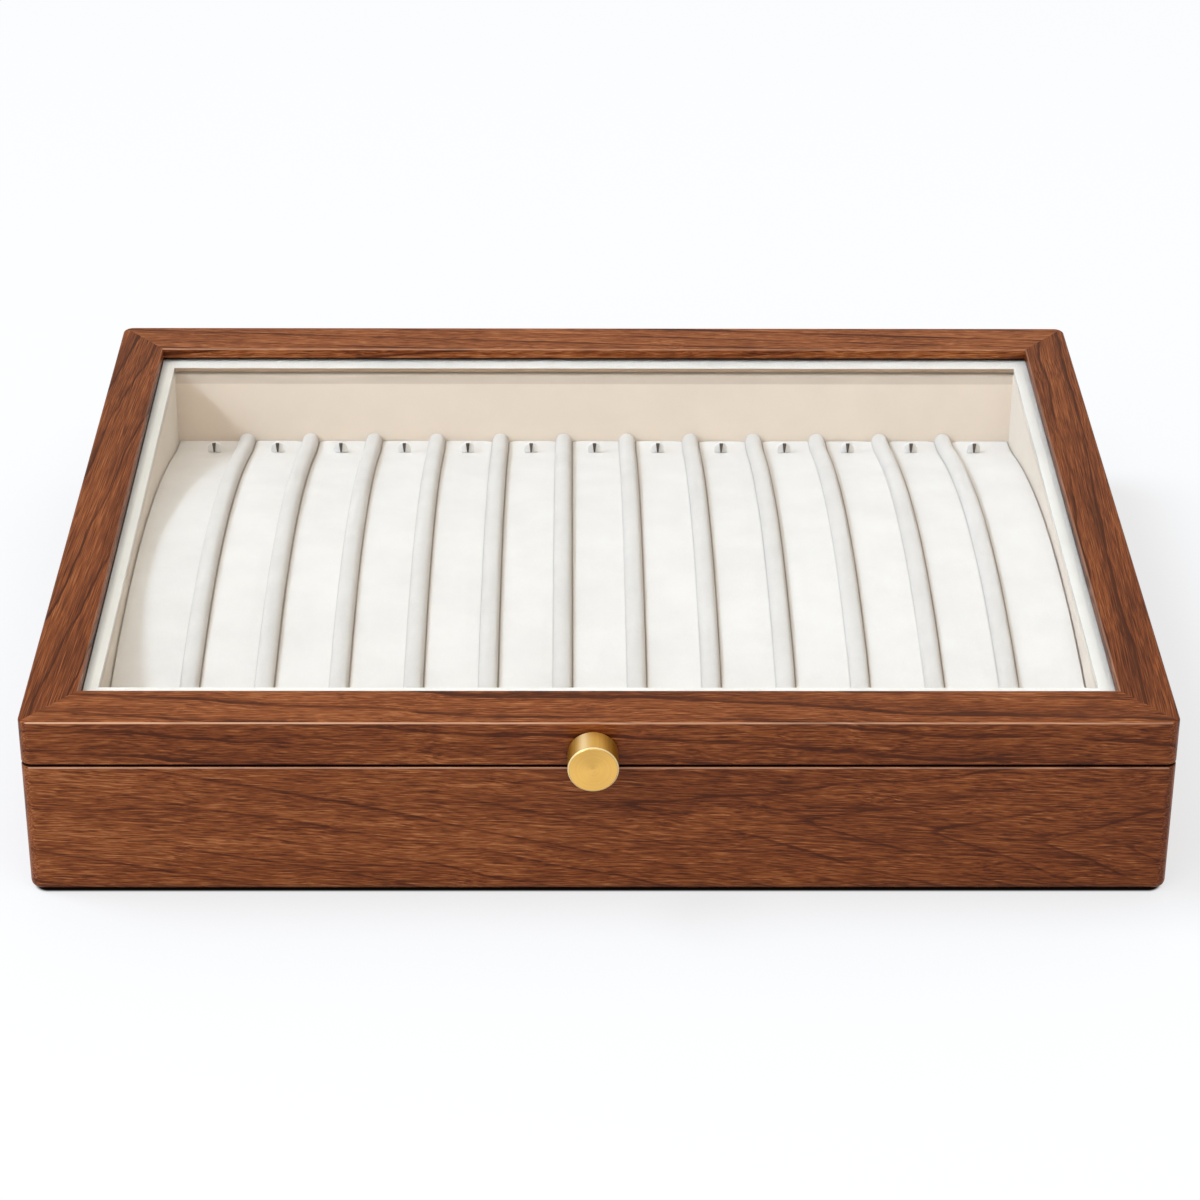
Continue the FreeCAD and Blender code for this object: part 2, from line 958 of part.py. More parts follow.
def profile(lift, back, front):
    """The pad's line, lifted square to itself, from y = back to y = front."""
    valley = size("valley_radius") - lift
    crown = size("crown_radius") + lift
    foot = VALLEY_CENTRE - LEDGE_NORMAL * valley
    above = LEDGE_START + LEDGE_NORMAL * lift
    start = above + LEDGE_DOWN * ((above.y - back) / math.cos(LEDGE_TURN))
    turn = angle_of(CROWN_CENTRE, VALLEY_CENTRE)
    first = Part.makeLine(start, foot)
    middle = arc(VALLEY_CENTRE, valley, angle_of(foot, VALLEY_CENTRE), turn)
    end = math.pi - math.acos((CROWN_CENTRE.y - front) / crown)
    last = arc(CROWN_CENTRE, crown, turn + math.pi, end)
    return [first, middle, last]


def slab(top, bottom, half_x):
    """The solid between two profiles, over the pad's width."""
    start_top = top[0].Vertexes[0].Point
    start_bottom = bottom[0].Vertexes[0].Point
    end_top = top[-1].Vertexes[-1].Point
    end_bottom = bottom[-1].Vertexes[-1].Point
    edges = top + [Part.makeLine(end_top, end_bottom)] + bottom
    edges.append(Part.makeLine(start_bottom, start_top))
    wire = Part.Wire(Part.__sortEdges__(edges))
    face = Part.Face(wire)
    face.translate(FreeCAD.Vector(-half_x, 0, 0))
    return face.extrude(FreeCAD.Vector(2 * half_x, 0, 0))


def shaped(name, shape):
    piece = doc.addObject("Part::Feature", name)
    piece.Shape = shape
    return piece


PAD_BACK = size("pad_back")
PAD_X = size("pad_x")
CORE_LIFT = -size("pad_skin") - size("layer_gap")
FLOOR = size("panel_top")

pad_shape = slab(
    profile(0, PAD_BACK, -PAD_BACK),
    profile(-size("pad_skin"), PAD_BACK, -PAD_BACK),
    PAD_X,
)
PAD_LINE = Part.Wire(profile(0, PAD_BACK, -PAD_BACK))


def is_rim(edge):
    """True for the edges along the pad's upper line at either side."""
    middle = edge.valueAt((edge.FirstParameter + edge.LastParameter) / 2)
    side = abs(abs(middle.x) - PAD_X) < TINY
    middle.x = 0
    return side and Part.Vertex(middle).distToShape(PAD_LINE)[0] < TINY


pad_shape = pad_shape.makeFillet(size("pad_edge_round"), [edge for edge in pad_shape.Edges if is_rim(edge)])
node("necklace_pad", shaped("pad", pad_shape))

core_top = profile(CORE_LIFT, PAD_BACK, -PAD_BACK)
core_start = core_top[0].Vertexes[0].Point
core_end = core_top[-1].Vertexes[-1].Point
core_bottom = [Part.makeLine(at(core_start.y, FLOOR), at(core_end.y, FLOOR))]
node("pad_core", shaped("core", slab(core_top, core_bottom, PAD_X)))

# Rolled dividers: a half round swept along the pad's line, with domed ends

ROLL = size("divider_radius")


def half_disc(centre, normal):
    """Half a disc across the roll, bulging along the normal."""
    left = centre - X_AXIS * ROLL
    right = centre + X_AXIS * ROLL
    bow = Part.Arc(left, centre + normal * ROLL, right).toShape()
    return Part.Face(Part.Wire([bow, Part.makeLine(right, left)]))


def roll_shape():
    """Sweeps the half disc along every piece of the line and round its ends."""
    back = PAD_BACK - ROLL
    path = profile(size("roll_gap"), back, -back)
    first = path[0].Vertexes[0].Point
    last = path[-1].Vertexes[-1].Point
    solid = half_disc(first, LEDGE_NORMAL).revolve(first, X_AXIS, -90)
    for edge in path:
        start = edge.Vertexes[0].Point
        end = edge.Vertexes[-1].Point
        if edge is path[0]:
            piece = half_disc(start, LEDGE_NORMAL).extrude(end - start)
        else:
            centre = VALLEY_CENTRE if edge is path[1] else CROWN_CENTRE
            outward = (start - centre) if centre.z < start.z else (centre - start)
            turn = math.degrees(angle_of(end, centre) - angle_of(start, centre))
            piece = half_disc(start, outward.normalize()).revolve(centre, X_AXIS, turn)
        solid = solid.fuse(piece)
    end_cap = half_disc(last, (last - CROWN_CENTRE).normalize()).revolve(last, X_AXIS, 90)
    return solid.fuse(end_cap).removeSplitter()


one_roll = roll_shape()
for n in range(DIVIDERS):
    roll = one_roll.copy()
    roll.translate(X_AXIS * (n - (DIVIDERS - 1) / 2) * size("divider_pitch"))
    node("divider_%02d" % (n + 1), shaped("roll_%02d" % (n + 1), roll))

# Hooks: a half round tab and a tapered pin at the middle of each channel

pad_space = shaped(
    "pad_space",
    slab(
        profile(size("roll_gap"), size("cavity_y"), -PAD_BACK),
        [Part.makeLine(at(size("cavity_y"), FLOOR), at(-PAD_BACK, FLOOR))],
        size("cavity_x"),
    ),
)
pins = []
for n in range(HOOKS):
    place = "%s * hook_pitch" % (n - (HOOKS - 1) / 2)
    stem = block(
        "tab_stem_%02d" % (n + 1),
        ("%s - tab_radius" % place, "%s + tab_radius" % place),
        ("tab_y - tab_thickness / 2", "tab_y + tab_thickness / 2"),
        ("tab_top - 2 * tab_height", "tab_top - tab_radius"),
    )
    cap = rod(
        "tab_cap_%02d" % (n + 1),
        "tab_radius",
        "tab_thickness",
        (place, "tab_y + tab_thickness / 2", "tab_top - tab_radius"),
        "-y",
    )
    label = "hook_tab_%02d" % (n + 1)
    node(label, cut(label + "_cut", fuse(label + "_fuse", [stem, cap]), [pad_space]))
    pin = doc.addObject("Part::Wedge", "hook_pin_%02d" % (n + 1))
    bind(
        pin,
        Xmin="-pin_narrow / 2",
        Xmax="pin_narrow / 2",
        X2min="-pin_wide / 2",
        X2max="pin_wide / 2",
        Ymin="0",
        Ymax="pin_height",
        Zmin="0",
        Zmax="pin_depth",
        Z2min="0",
        Z2max="pin_depth",
    )
    stand(
        pin,
        (place, "tab_y - tab_thickness / 2", "tab_top - pin_height"),
        "-y",
    )
    pins.append(pin)
node("hook_pins", group("hook_pin_group", pins))

# Check and write

doc.recompute()
for thing in doc.Objects:
    bad = {"Invalid", "Error"} & set(thing.State)
    if bad:
        raise RuntimeError("%s is %s" % (thing.Label, ", ".join(bad)))
for piece in PARTS:
    if piece.Shape.isNull() or not piece.Shape.isValid():
        raise RuntimeError("%s has no valid shape" % piece.Label)
os.makedirs("parts", exist_ok=True)
for piece in PARTS:
    piece.Shape.exportStep("parts/%s.step" % piece.Label)
    box = piece.Shape.BoundBox
    print(
        "%-24s %d solid(s) %10.1f mm3  x %.1f..%.1f  y %.1f..%.1f  z %.1f..%.1f"
        % (
            piece.Label, len(piece.Shape.Solids), piece.Shape.Volume,
            box.XMin, box.XMax, box.YMin, box.YMax, box.ZMin, box.ZMax,
        )
    )
print(len(PARTS), "nodes")
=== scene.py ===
import math

import bmesh
import bpy
from bpy.props import FloatProperty, FloatVectorProperty, PointerProperty
from mathutils import Euler, Matrix, Vector, noise


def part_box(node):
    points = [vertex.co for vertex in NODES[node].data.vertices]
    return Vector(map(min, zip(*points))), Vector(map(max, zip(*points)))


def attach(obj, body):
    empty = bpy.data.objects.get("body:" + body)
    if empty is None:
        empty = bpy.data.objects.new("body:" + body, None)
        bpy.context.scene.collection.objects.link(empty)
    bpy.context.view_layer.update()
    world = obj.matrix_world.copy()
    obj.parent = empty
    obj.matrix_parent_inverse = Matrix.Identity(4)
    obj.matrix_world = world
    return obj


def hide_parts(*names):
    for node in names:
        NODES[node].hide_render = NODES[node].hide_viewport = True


bl_info = {
    "name": "Glass top jewelry box",
    "version": (1, 0, 0),
    "blender": (4, 5, 0),
    "location": "3D View > Sidebar > Jewelry box",
    "description": "Looks of a walnut jewelry box with a glass lid over a necklace pad",
    "category": "Add Mesh",
}

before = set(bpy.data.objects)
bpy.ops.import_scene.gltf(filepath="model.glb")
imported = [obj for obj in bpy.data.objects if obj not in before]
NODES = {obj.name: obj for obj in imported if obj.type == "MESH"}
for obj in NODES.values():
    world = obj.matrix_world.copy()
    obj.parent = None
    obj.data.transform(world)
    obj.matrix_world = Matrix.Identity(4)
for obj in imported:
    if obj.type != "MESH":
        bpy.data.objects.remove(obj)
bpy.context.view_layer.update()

MM = 0.001
X_AXIS = Vector((1, 0, 0))
SIDES = ("front", "back", "left", "right")
DIVIDERS = 12
HOOKS = DIVIDERS + 1

PAD_LOW, PAD_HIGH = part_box("necklace_pad")
ROLL_LOW, ROLL_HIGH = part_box("divider_01")
ROLL_RADIUS = (ROLL_HIGH.x - ROLL_LOW.x) / 2
KNOB_LOW, KNOB_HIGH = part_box("knob")

# Places on the box that the finishes use, in millimetres

CASE_WIDTH = 350.0
LINING_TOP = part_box("lining_back")[1].z / MM
SEAM_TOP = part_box("lid_rail_front")[0].z / MM
SEAM_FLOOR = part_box("base_wall_front")[1].z / MM
LIP_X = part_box("lid_rail_right")[0].x / MM
LIP_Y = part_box("lid_rail_back")[0].y / MM
FRONT_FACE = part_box("lid_rail_front")[0].y / MM
FRAME_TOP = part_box("glass_retainer_back")[1].z / MM
FRAME_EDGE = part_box("glass_retainer_back")[0].y / MM
KNOB_ROUNDING = 0.45
KNOB_RIM = (KNOB_HIGH.x - KNOB_LOW.x) / 2 / MM - KNOB_ROUNDING
KNOB_FACE = (KNOB_HIGH.y - KNOB_LOW.y) / 2 / MM


# Shader maths


def operator(operation):
    """What one of Python's operators does to a value: it adds this Math node."""
    return lambda value, other: value.math(operation, other)


class Value:
    """A node's output that Python's operators can work on."""

    def __init__(self, finish, socket):
        self.finish = finish
        self.socket = socket

    def math(self, operation, *others, kind="ShaderNodeMath"):
        settings = {"operation": operation}
        return self.finish.node(kind, settings, dict(enumerate((self, *others))))

    def vector(self, operation, *others):
        return self.math(operation, *others, kind="ShaderNodeVectorMath")

    __add__ = __radd__ = operator("ADD")
    __sub__ = operator("SUBTRACT")
    __mul__ = operator("MULTIPLY")
    __truediv__ = operator("DIVIDE")
    __pow__ = operator("POWER")

    def __rsub__(self, other):
        return self.finish.node("ShaderNodeMath", {"operation": "SUBTRACT"}, {0: other, 1: self})

    def size(self):
        return self.math("ABSOLUTE")

    def most(self, other):
        return self.math("MAXIMUM", other)

    def between(self, low, high):
        """0 at low, 1 at high and a smooth rise from one to the other."""
        settings = {"interpolation_type": "SMOOTHSTEP"}
        sockets = {"Value": self, "From Min": low, "From Max": high}
        return self.finish.node("ShaderNodeMapRange", settings, sockets)


class Finish:
    """The nodes of a new material, or of the world."""

    def __init__(self, name, owner=None):
        self.owner = owner or bpy.data.materials.new(name)
        self.owner.use_nodes = True
        self.tree = self.owner.node_tree
        self.tree.nodes.clear()

    def node(self, kind, settings=None, sockets=None, output=0):
        """Adds a node: its settings first, then values or links into its sockets."""
        made = self.tree.nodes.new(kind)
        for name, setting in (settings or {}).items():
            if name == "stops":
                self.fill_ramp(made.color_ramp.elements, setting)
            else:
                setattr(made, name, setting)
        for name, value in (sockets or {}).items():
            if isinstance(value, Value):
                self.tree.links.new(value.socket, made.inputs[name])
            else:
                made.inputs[name].default_value = value
        return Value(self, made.outputs[output]) if made.outputs else None

    @staticmethod
    def fill_ramp(elements, stops):
        while len(elements) < len(stops):
            elements.new(0.5)
        for element, (place, colour) in zip(elements, stops):
            element.position = place
            element.color = (*colour, 1)

    def place(self, turn=(0, 0, 0), shift=(0, 0, 0)):
        """The point on the object in millimetres, turned and shifted."""
        sockets = {
            "Vector": self.node("ShaderNodeTexCoord", output="Object"),
            "Location": shift,
            "Rotation": turn,
            "Scale": (1 / MM, 1 / MM, 1 / MM),
        }
        return self.node("ShaderNodeMapping", None, sockets)

    def noise(self, point, scale=1.0, shift=(0, 0, 0), detail=2.0, roughness=0.5, distortion=0.0):
        """Noise at a point. Three numbers as its scale stretch it along each axis."""
        if isinstance(scale, tuple):
            sockets = {"Vector": point, "Scale": scale, "Location": shift}
            point = self.node("ShaderNodeMapping", None, sockets)
            scale = 1.0
        sockets = {
            "Vector": point,
            "Scale": scale,
            "Detail": detail,
            "Roughness": roughness,
            "Distortion": distortion,
        }
        return self.node("ShaderNodeTexNoise", None, sockets)

    def mix(self, factor, first, second):
        """A colour between two, each of them a value or three numbers."""
        first, second = (part if isinstance(part, Value) else (*part, 1) for part in (first, second))
        sockets = {0: factor, 6: first, 7: second}
        return self.node("ShaderNodeMix", {"data_type": "RGBA"}, sockets, output=2)

    def mottle(self, factor, colour, share):
        """A colour that gets darker, or paler, to a share of itself."""
        return self.mix(factor, tuple(part * share for part in colour), colour)

    def ramp(self, factor, stops):
        return self.node("ShaderNodeValToRGB", {"stops": stops}, {"Fac": factor})

    def split(self, point):
        """The three parts of a point."""
        parts = self.node("ShaderNodeSeparateXYZ", None, {"Vector": point})
        return [Value(self, socket) for socket in parts.socket.node.outputs]

    def join(self, x, y, z):
        return self.node("ShaderNodeCombineXYZ", None, {"X": x, "Y": y, "Z": z})

    def bump(self, height, strength, distance):
        """Bumps on the surface, as deep as distance in millimetres."""
        sockets = {"Height": height, "Strength": strength, "Distance": distance * MM}
        return self.node("ShaderNodeBump", None, sockets)

    def ray(self, kind):
        """1 for rays of a kind, such as Camera or Shadow."""
        return self.node("ShaderNodeLightPath", output="Is %s Ray" % kind)

    def blend(self, factor, first, second):
        """A shader between two shaders."""
        return self.node("ShaderNodeMixShader", None, {"Fac": factor, 1: first, 2: second})

    def surface(self, sockets):
        """The shader of most finishes, straight to the output."""
        return self.show(self.node("ShaderNodeBsdfPrincipled", None, sockets))

    def show(self, shader, kind="ShaderNodeOutputMaterial"):
        self.node(kind, None, {"Surface": shader})
        return self.owner


# Finishes


class BoardGrain:
    """Where a board was cut: the way its grain runs, and the heart of the tree.

    heart is the place of the tree's centre across the board and up, and drift is
    how far that centre moves per millimetre along the board. taper is how many
    rings the saw cuts through along the board, faster and faster to the far end,
    and ring is the width of one. fade is painted shade: how much darker the board
    gets from its near end to its far end. dark is how much darker all of it is, and
    face is painted shade: how much darker its front face is. seed makes each
    board's noise its own. outer and inner tell how strong the painted highlight on
    its rounded top edges is, and rub how far below the top that highlight lies and
    how wide. lines is how plainly its rings show.
    """

    taper = fade = dark = face = outer = inner = 0.0
    ring = 6.5
    highlight_band = (0.0, 0.55)
    lines = 1.0

    def __init__(self, along, heart, drift, seed, **own):
        self.along = along
        self.heart = heart
        self.drift = drift
        self.seed = seed
        for name, value in own.items():
            setattr(self, name, value)

    def edges(self, name):
        """The board's top edges across and up, in millimetres, and how strong the painted highlight
        on each is.
        """
        low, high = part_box(name)
        first, last = (low.y, high.y) if self.along == "x" else (-high.x, -low.x)
        outer, inner = (first, last) if abs(first) > abs(last) else (last, first)
        top = high.z / MM - self.highlight_band[0]
        return ((outer / MM, top, self.outer), (inner / MM, top, self.inner))


GRAINS = {
    "base_wall_front": BoardGrain(
        "x", (-147.6, 32.5), (0, -0.10), 3, taper=3.32, ring=8.6, fade=0.19, dark=0.035,
        outer=0.65, highlight_band=(0.36, 0.34), lines=0.85,
    ),
    "base_wall_back": BoardGrain("x", (96, -40), (0.03, 0.02), 17),
    "base_wall_left": BoardGrain("y", (110, 12), (0.05, -0.01), 29),
    "base_wall_right": BoardGrain("y", (-120, -30), (-0.04, 0.02), 41),
    "lid_rail_front": BoardGrain(
        "x", (-198, -12), (-0.045, -0.03), 53, fade=0.13, face=0.07, outer=1.0,
        highlight_band=(0.2, 0.46), lines=1.2,
    ),
    "lid_rail_back": BoardGrain(
        "x", (178, 20), (-0.04, 0.03), 67, ring=5.5, dark=-0.11, inner=0.5, lines=1.3
    ),
    "lid_rail_left": BoardGrain(
        "y", (110, 34), (-0.10, -0.02), 79, ring=8.5, dark=0.08, inner=0.25, lines=1.7
    ),
    "lid_rail_right": BoardGrain(
        "y", (-232, 36), (-0.04, 0.03), 91, ring=8.0, dark=0.11, inner=0.4, lines=1.6
    ),
}

# The saw cuts e times as many rings after each length along a tapered board. The
# start moves all the rings of a board by part of one

TAPER_LENGTH = 200.0
TAPER_START = 0.24

# How fast each noise in the wood changes per millimetre, along, across and up

SLOW_SWAY = (0.012, 0.03, 0.03)
FIBRE_SWAY = (0.035, 0.12, 0.12)
RING_PATCHES = (0.02, 0.07, 0.07)
BROAD_TONE = (0.012, 0.11, 0.11)
DASH_FINE = 2.9
STREAK_FINE = 1.9
PORE_FINE = 3.3

# The painted shade in the seam ends this far in from the outside, in millimetres

SEAM_SHADE_END = (2.6, 1.8)

# Painted shade: the side boards' suede is painted a little darker than the front and back, the right
# one most

LINING_PAINTED_SHADE = {"front": 1.0, "back": 1.0, "left": 0.93, "right": 0.85}
# Colour of the painted shade on the pad and of the painted shadow along the top of the back lining
PAINTED_SHADE_COLOUR = (0.26, 0.17, 0.10)


def walnut(name, grain, looks):
    """Oiled walnut: growth rings, wavy fibre streaks and short dark pores."""
    finish = Finish("walnut_" + name)
    seed = grain.seed
    quarter = -math.pi / 2 if grain.along == "y" else 0.0
    point = finish.place(turn=(0, 0, quarter))
    along, across, up = finish.split(point)

    slow = finish.noise(point, SLOW_SWAY, (seed, 0, 0))
    wave = finish.noise(point, FIBRE_SWAY, (0, seed, 0))
    sway = (slow - 0.5) * looks.ring_sway + (wave - 0.5) * looks.fibre_wave

    side = across - grain.heart[0] - along * grain.drift[0] + sway
    rise = up - grain.heart[1] - along * grain.drift[1] + sway
    radius = (side * side + rise * rise) ** 0.5
    count = finish.noise(finish.join(radius * 0.05, seed, 0.0))
    cut = (along / TAPER_LENGTH).math("EXPONENT") * grain.taper
    year = cut - radius / grain.ring - count * (1.0 if grain.taper else 2.0) + TAPER_START
    ring = year.math("FRACT")
    bold = finish.noise(finish.join(year.math("FLOOR") * 7.3, seed, 0.0), detail=1.0)
    patch = finish.noise(point, RING_PATCHES, (seed, 5, 0))
    width = looks.ring_line / grain.ring
    ended = ring.between(1 - 0.6 * width, 1.0)
    line = ring.between(1 - 2.6 * width, 1 - width) - ended
    late = ring.between(1 - 12 * width, 1 - width) - ended
    shown = bold.between(0.25, 0.7) * 0.5 + patch.between(0.35, 0.65) * 0.7

    short, fine, calm = (0.15, 1.0, 1.0) if grain.along == "x" else (0.05, 1.35, 0.2)
    bent = finish.join(
        along,
        across - along * (grain.drift[0] * 0.5) + sway * calm,
        up - along * (grain.drift[1] * 0.5) + sway * calm,
    )
    dash_scale = (short, DASH_FINE * fine, DASH_FINE * fine)
    dash = finish.noise(bent, dash_scale, (0, 0, seed), roughness=0.6)
    streak_scale = (short * 0.2, STREAK_FINE * fine, STREAK_FINE * fine)
    streak = finish.noise(bent, streak_scale, (seed, 0, 0), roughness=0.6)
    broad = finish.noise(bent, BROAD_TONE, (0, seed, 3), detail=3.0)
    pore_scale = (short * 1.3, PORE_FINE, PORE_FINE)
    pores = finish.noise(bent, pore_scale, (0, seed, 8), detail=1.0, roughness=0.4)
    pore = pores.between(0.59, 0.70) * looks.pore_depth
    gleam = pores.between(0.36, 0.24) * 0.10

    # Painted shade: the front face and the far end of a board are painted darker; dark is the
    # board's own tone
    front = across.between(FRONT_FACE + 0.9, FRONT_FACE + 0.2)
    shade_and_tone = (along / CASE_WIDTH) * grain.fade + front * grain.face + grain.dark
    tone = 0.5 + (dash - 0.5) * 1.6 + (streak - 0.5) * (0.8 * calm + 0.1) + (broad - 0.5) * 0.7
    rings = (line * 0.36 + late * 0.12) * shown * (looks.ring_depth * grain.lines)
    tone = tone - rings - shade_and_tone + gleam
    stops = [
        (0.08, looks.wood_dark),
        (0.36, looks.wood_mid),
        (0.60, looks.wood_warm),
        (0.90, looks.wood_light),
    ]
    colour = finish.mix(pore, finish.ramp(tone, stops), looks.wood_pore)
    # Painted shade in the seam: the faces in the gap between lid and case, near the outside, are
    # painted almost the pore colour
    under = up.between(SEAM_TOP + 0.10, SEAM_TOP)
    above = up.between(SEAM_FLOOR - 0.20, SEAM_FLOOR - 0.08)
    outside = (across - grain.edges(name)[0][0]).size().between(*SEAM_SHADE_END)
    colour = finish.mix(under * above * outside * 0.97, colour, looks.wood_pore)
    # Painted highlight: the rounded top edges are painted paler, unevenly and less towards the far
    # end
    for place, top, pale in grain.edges(name):
        if pale:
            out, over = across - place, up - top
            reach = (out * out + over * over) ** 0.5
            painted_highlight = reach.between(grain.highlight_band[1], grain.highlight_band[1] * 0.6)
            uneven = 0.75 + (streak - 0.5) * 1.2 - along / CASE_WIDTH * 0.5
            colour = finish.mix(painted_highlight * uneven * pale, colour, looks.wood_highlight)
    return finish.surface({
        "Base Color": colour,
        "Roughness": 0.40 + (0.5 - tone) * 0.10 + pore * 0.2,
        "Specular IOR Level": 0.10,
        "Coat Weight": 0.16,
        "Coat Roughness": 0.16,
        "Normal": finish.bump(dash * 0.6 + streak * 0.3 - pore, 0.25, 0.06),
    })


def pad_painted_shade(finish, point):
    """Painted shade on the pad's cloth: in the crease beside each roll, widened on its right into a
    painted shadow of the roll, and along the pad's side and back rims.
    """
    shape = bpy.context.scene.box_pad
    x, y, z = finish.split(point)
    back, depth = PAD_HIGH.y / MM, (PAD_HIGH.y - PAD_LOW.y) / MM
    forward = (back - y) / depth
    pitch = (forward * math.pi).math("SINE") * (shape.fan / MM) + shape.pitch / MM
    rolls = (x - shape.rolls_shift / MM) / pitch
    offset = (rolls + DIVIDERS / 2).math("FRACT") - 0.5
    gap = offset.size() * pitch - ROLL_RADIUS / MM
    right = offset.math("GREATER_THAN", 0.0)
    # Painted shadow right of each roll, and painted shade in the crease on its left
    beside = gap.between(0.75, 0.30) * right * 0.75 + gap.between(0.45, 0.15) * (1 - right) * 0.25
    beside = beside * rolls.size().math("LESS_THAN", DIVIDERS / 2)
    # Painted shade along the pad's side and back rims
    sides = x.size().between(PAD_HIGH.x / MM - 0.65, PAD_HIGH.x / MM - 0.25)
    rear = y.between(back - 0.65, back - 0.25)
    return beside.most(sides * 0.55).most(rear * 0.6)


def top_painted_shadow(finish, point):
    """Painted shadow: a darker band along the top of the back board's cloth, under the frame."""
    up = finish.split(point)[2]
    return up.between(LINING_TOP - 4.4, LINING_TOP - 3.9) * 0.24


def suede(name, colour, shade, nap=1.0, painted_shade=None, lean=0.0):
    """Short brushed nap: soft mottling, fine fibres and a little sheen.

    creases is a mask of painted shade and painted shadow, and lean how far the nap stands up, which
    evens the light on a roll.
    """
    finish = Finish(name)
    point = finish.place()
    mottle = finish.noise(point, 0.05, detail=4.0, roughness=0.6)
    fibres = finish.noise(point, (2.4, 1.1, 2.4), detail=3.0, roughness=0.7, distortion=0.6)
    grains = finish.noise(point, 6.0, roughness=0.8)
    tone = (mottle * 0.45 + fibres * 0.35 + grains * 0.2).between(0.36, 0.64)
    cloth = finish.mix(tone, shade, colour)
    if painted_shade:
        # The cloth is darkened by the mask of painted shade and shadow
        cloth = finish.mix(painted_shade(finish, point), cloth, PAINTED_SHADE_COLOUR)
    normal = finish.bump(fibres + grains * 0.6, 0.35 * nap, 0.12)
    if lean:
        normal = normal.vector("ADD", (0, 0, lean)).vector("NORMALIZE")
    return finish.surface({
        "Base Color": cloth,
        "Diffuse Roughness": 1.0,
        "Roughness": 0.92 - fibres * 0.08,
        "Specular IOR Level": 0.25,
        "Sheen Weight": 0.15,
        "Sheen Roughness": 0.5,
        "Normal": normal,
    })


def white_wrap(colour):
    """The white film on the glass frame: satin, with faint lines, painted shade near the side lips
    and on the back strip's inner edge, and a painted shadow under the lip.
    """
    # Colours of the painted shade near the left and right lips
    left_painted_shade, right_painted_shade = (0.55, 0.54, 0.52), (0.60, 0.59, 0.575)
    # Colours of the painted shade on the back strip's inner edge and of the darker painted line in
    # it
    edge_painted_shade, groove_painted_shade = (0.40, 0.27, 0.17), (0.12, 0.09, 0.06)
    # Colour of the painted shadow under the lip
    lip_painted_shadow = (0.012, 0.009, 0.007)
    finish = Finish("frame_white")
    point = finish.place()
    x, y, z = finish.split(point)
    lines = finish.noise(point, (1.5, 1.5, 3.0), detail=3.0, roughness=0.6)
    wash = finish.noise(point, 0.03)
    film = finish.mottle((lines * 0.5 + wash * 0.5).between(0.4, 0.6), colour, 0.93)
    # Painted shade near the left and right lips
    film = finish.mix(x.between(2.6 - LIP_X, 1.6 - LIP_X) * 0.35, film, left_painted_shade)
    film = finish.mix(x.between(LIP_X - 5.0, LIP_X - 1.5) * 0.3, film, right_painted_shade)
    # Painted shade: the inner edge of the back strip is painted brown, with a darker line
    rear = y.between(FRAME_EDGE - 0.4, FRAME_EDGE - 0.2)
    rear = rear * y.between(FRAME_EDGE + 2.4, FRAME_EDGE + 2.2)
    rear = rear * x.size().between(LIP_X - 4.2, LIP_X - 4.5)
    groove = y.between(FRAME_EDGE + 0.5, FRAME_EDGE + 0.9)
    board = finish.mix(groove, edge_painted_shade, groove_painted_shade)
    film = finish.mix(z.between(FRAME_TOP - 0.15, FRAME_TOP - 0.30) * rear, film, board)
    # Painted shadow: the film where it runs under the wooden lip is painted nearly black
    lip_shadow_mask = x.between(LIP_X + 0.45, LIP_X + 0.6).most(x.between(-LIP_X - 0.02, -LIP_X - 0.12))
    lip_shadow_mask = lip_shadow_mask.most(y.between(LIP_Y + 2.7, LIP_Y + 2.9))
    return finish.surface({
        "Base Color": finish.mix(lip_shadow_mask * 0.96, film, lip_painted_shadow),
        "Roughness": 0.42 + lines * 0.12,
        "Specular IOR Level": 0.4,
        "Normal": finish.bump(lines, 0.12, 0.05),
    })


def hook_white(colour):
    """Milky plastic that light goes into, with a fine moulded grain."""
    finish = Finish("hook_white")
    grain = finish.noise(finish.place(), 2.0, detail=3.0, roughness=0.6)
    return finish.surface({
        "Base Color": finish.mottle(grain.between(0.4, 0.6), colour, 0.96),
        "Roughness": 0.45 + grain * 0.1,
        "Specular IOR Level": 0.3,
        "Subsurface Weight": 0.7,
        "Subsurface Radius": (1.0, 1.0, 0.95),
        "Subsurface Scale": 1.5 * MM,
    })


def clear_glass():
    """Clear float glass that lets the lamps through."""
    finish = Finish("clear_glass")
    pane = finish.node("ShaderNodeBsdfPrincipled", None, {
        "Base Color": (0.985, 0.995, 0.99, 1),
        "Roughness": 0.0,
        "IOR": 1.1,
        "Transmission Weight": 1.0,
        "Coat Weight": 0.3,
        "Coat Roughness": 0.0,
    })
    through = finish.node("ShaderNodeBsdfTransparent", None, {"Color": (0.97, 0.98, 0.975, 1)})
    return finish.show(finish.blend(finish.ray("Shadow"), pane, through))


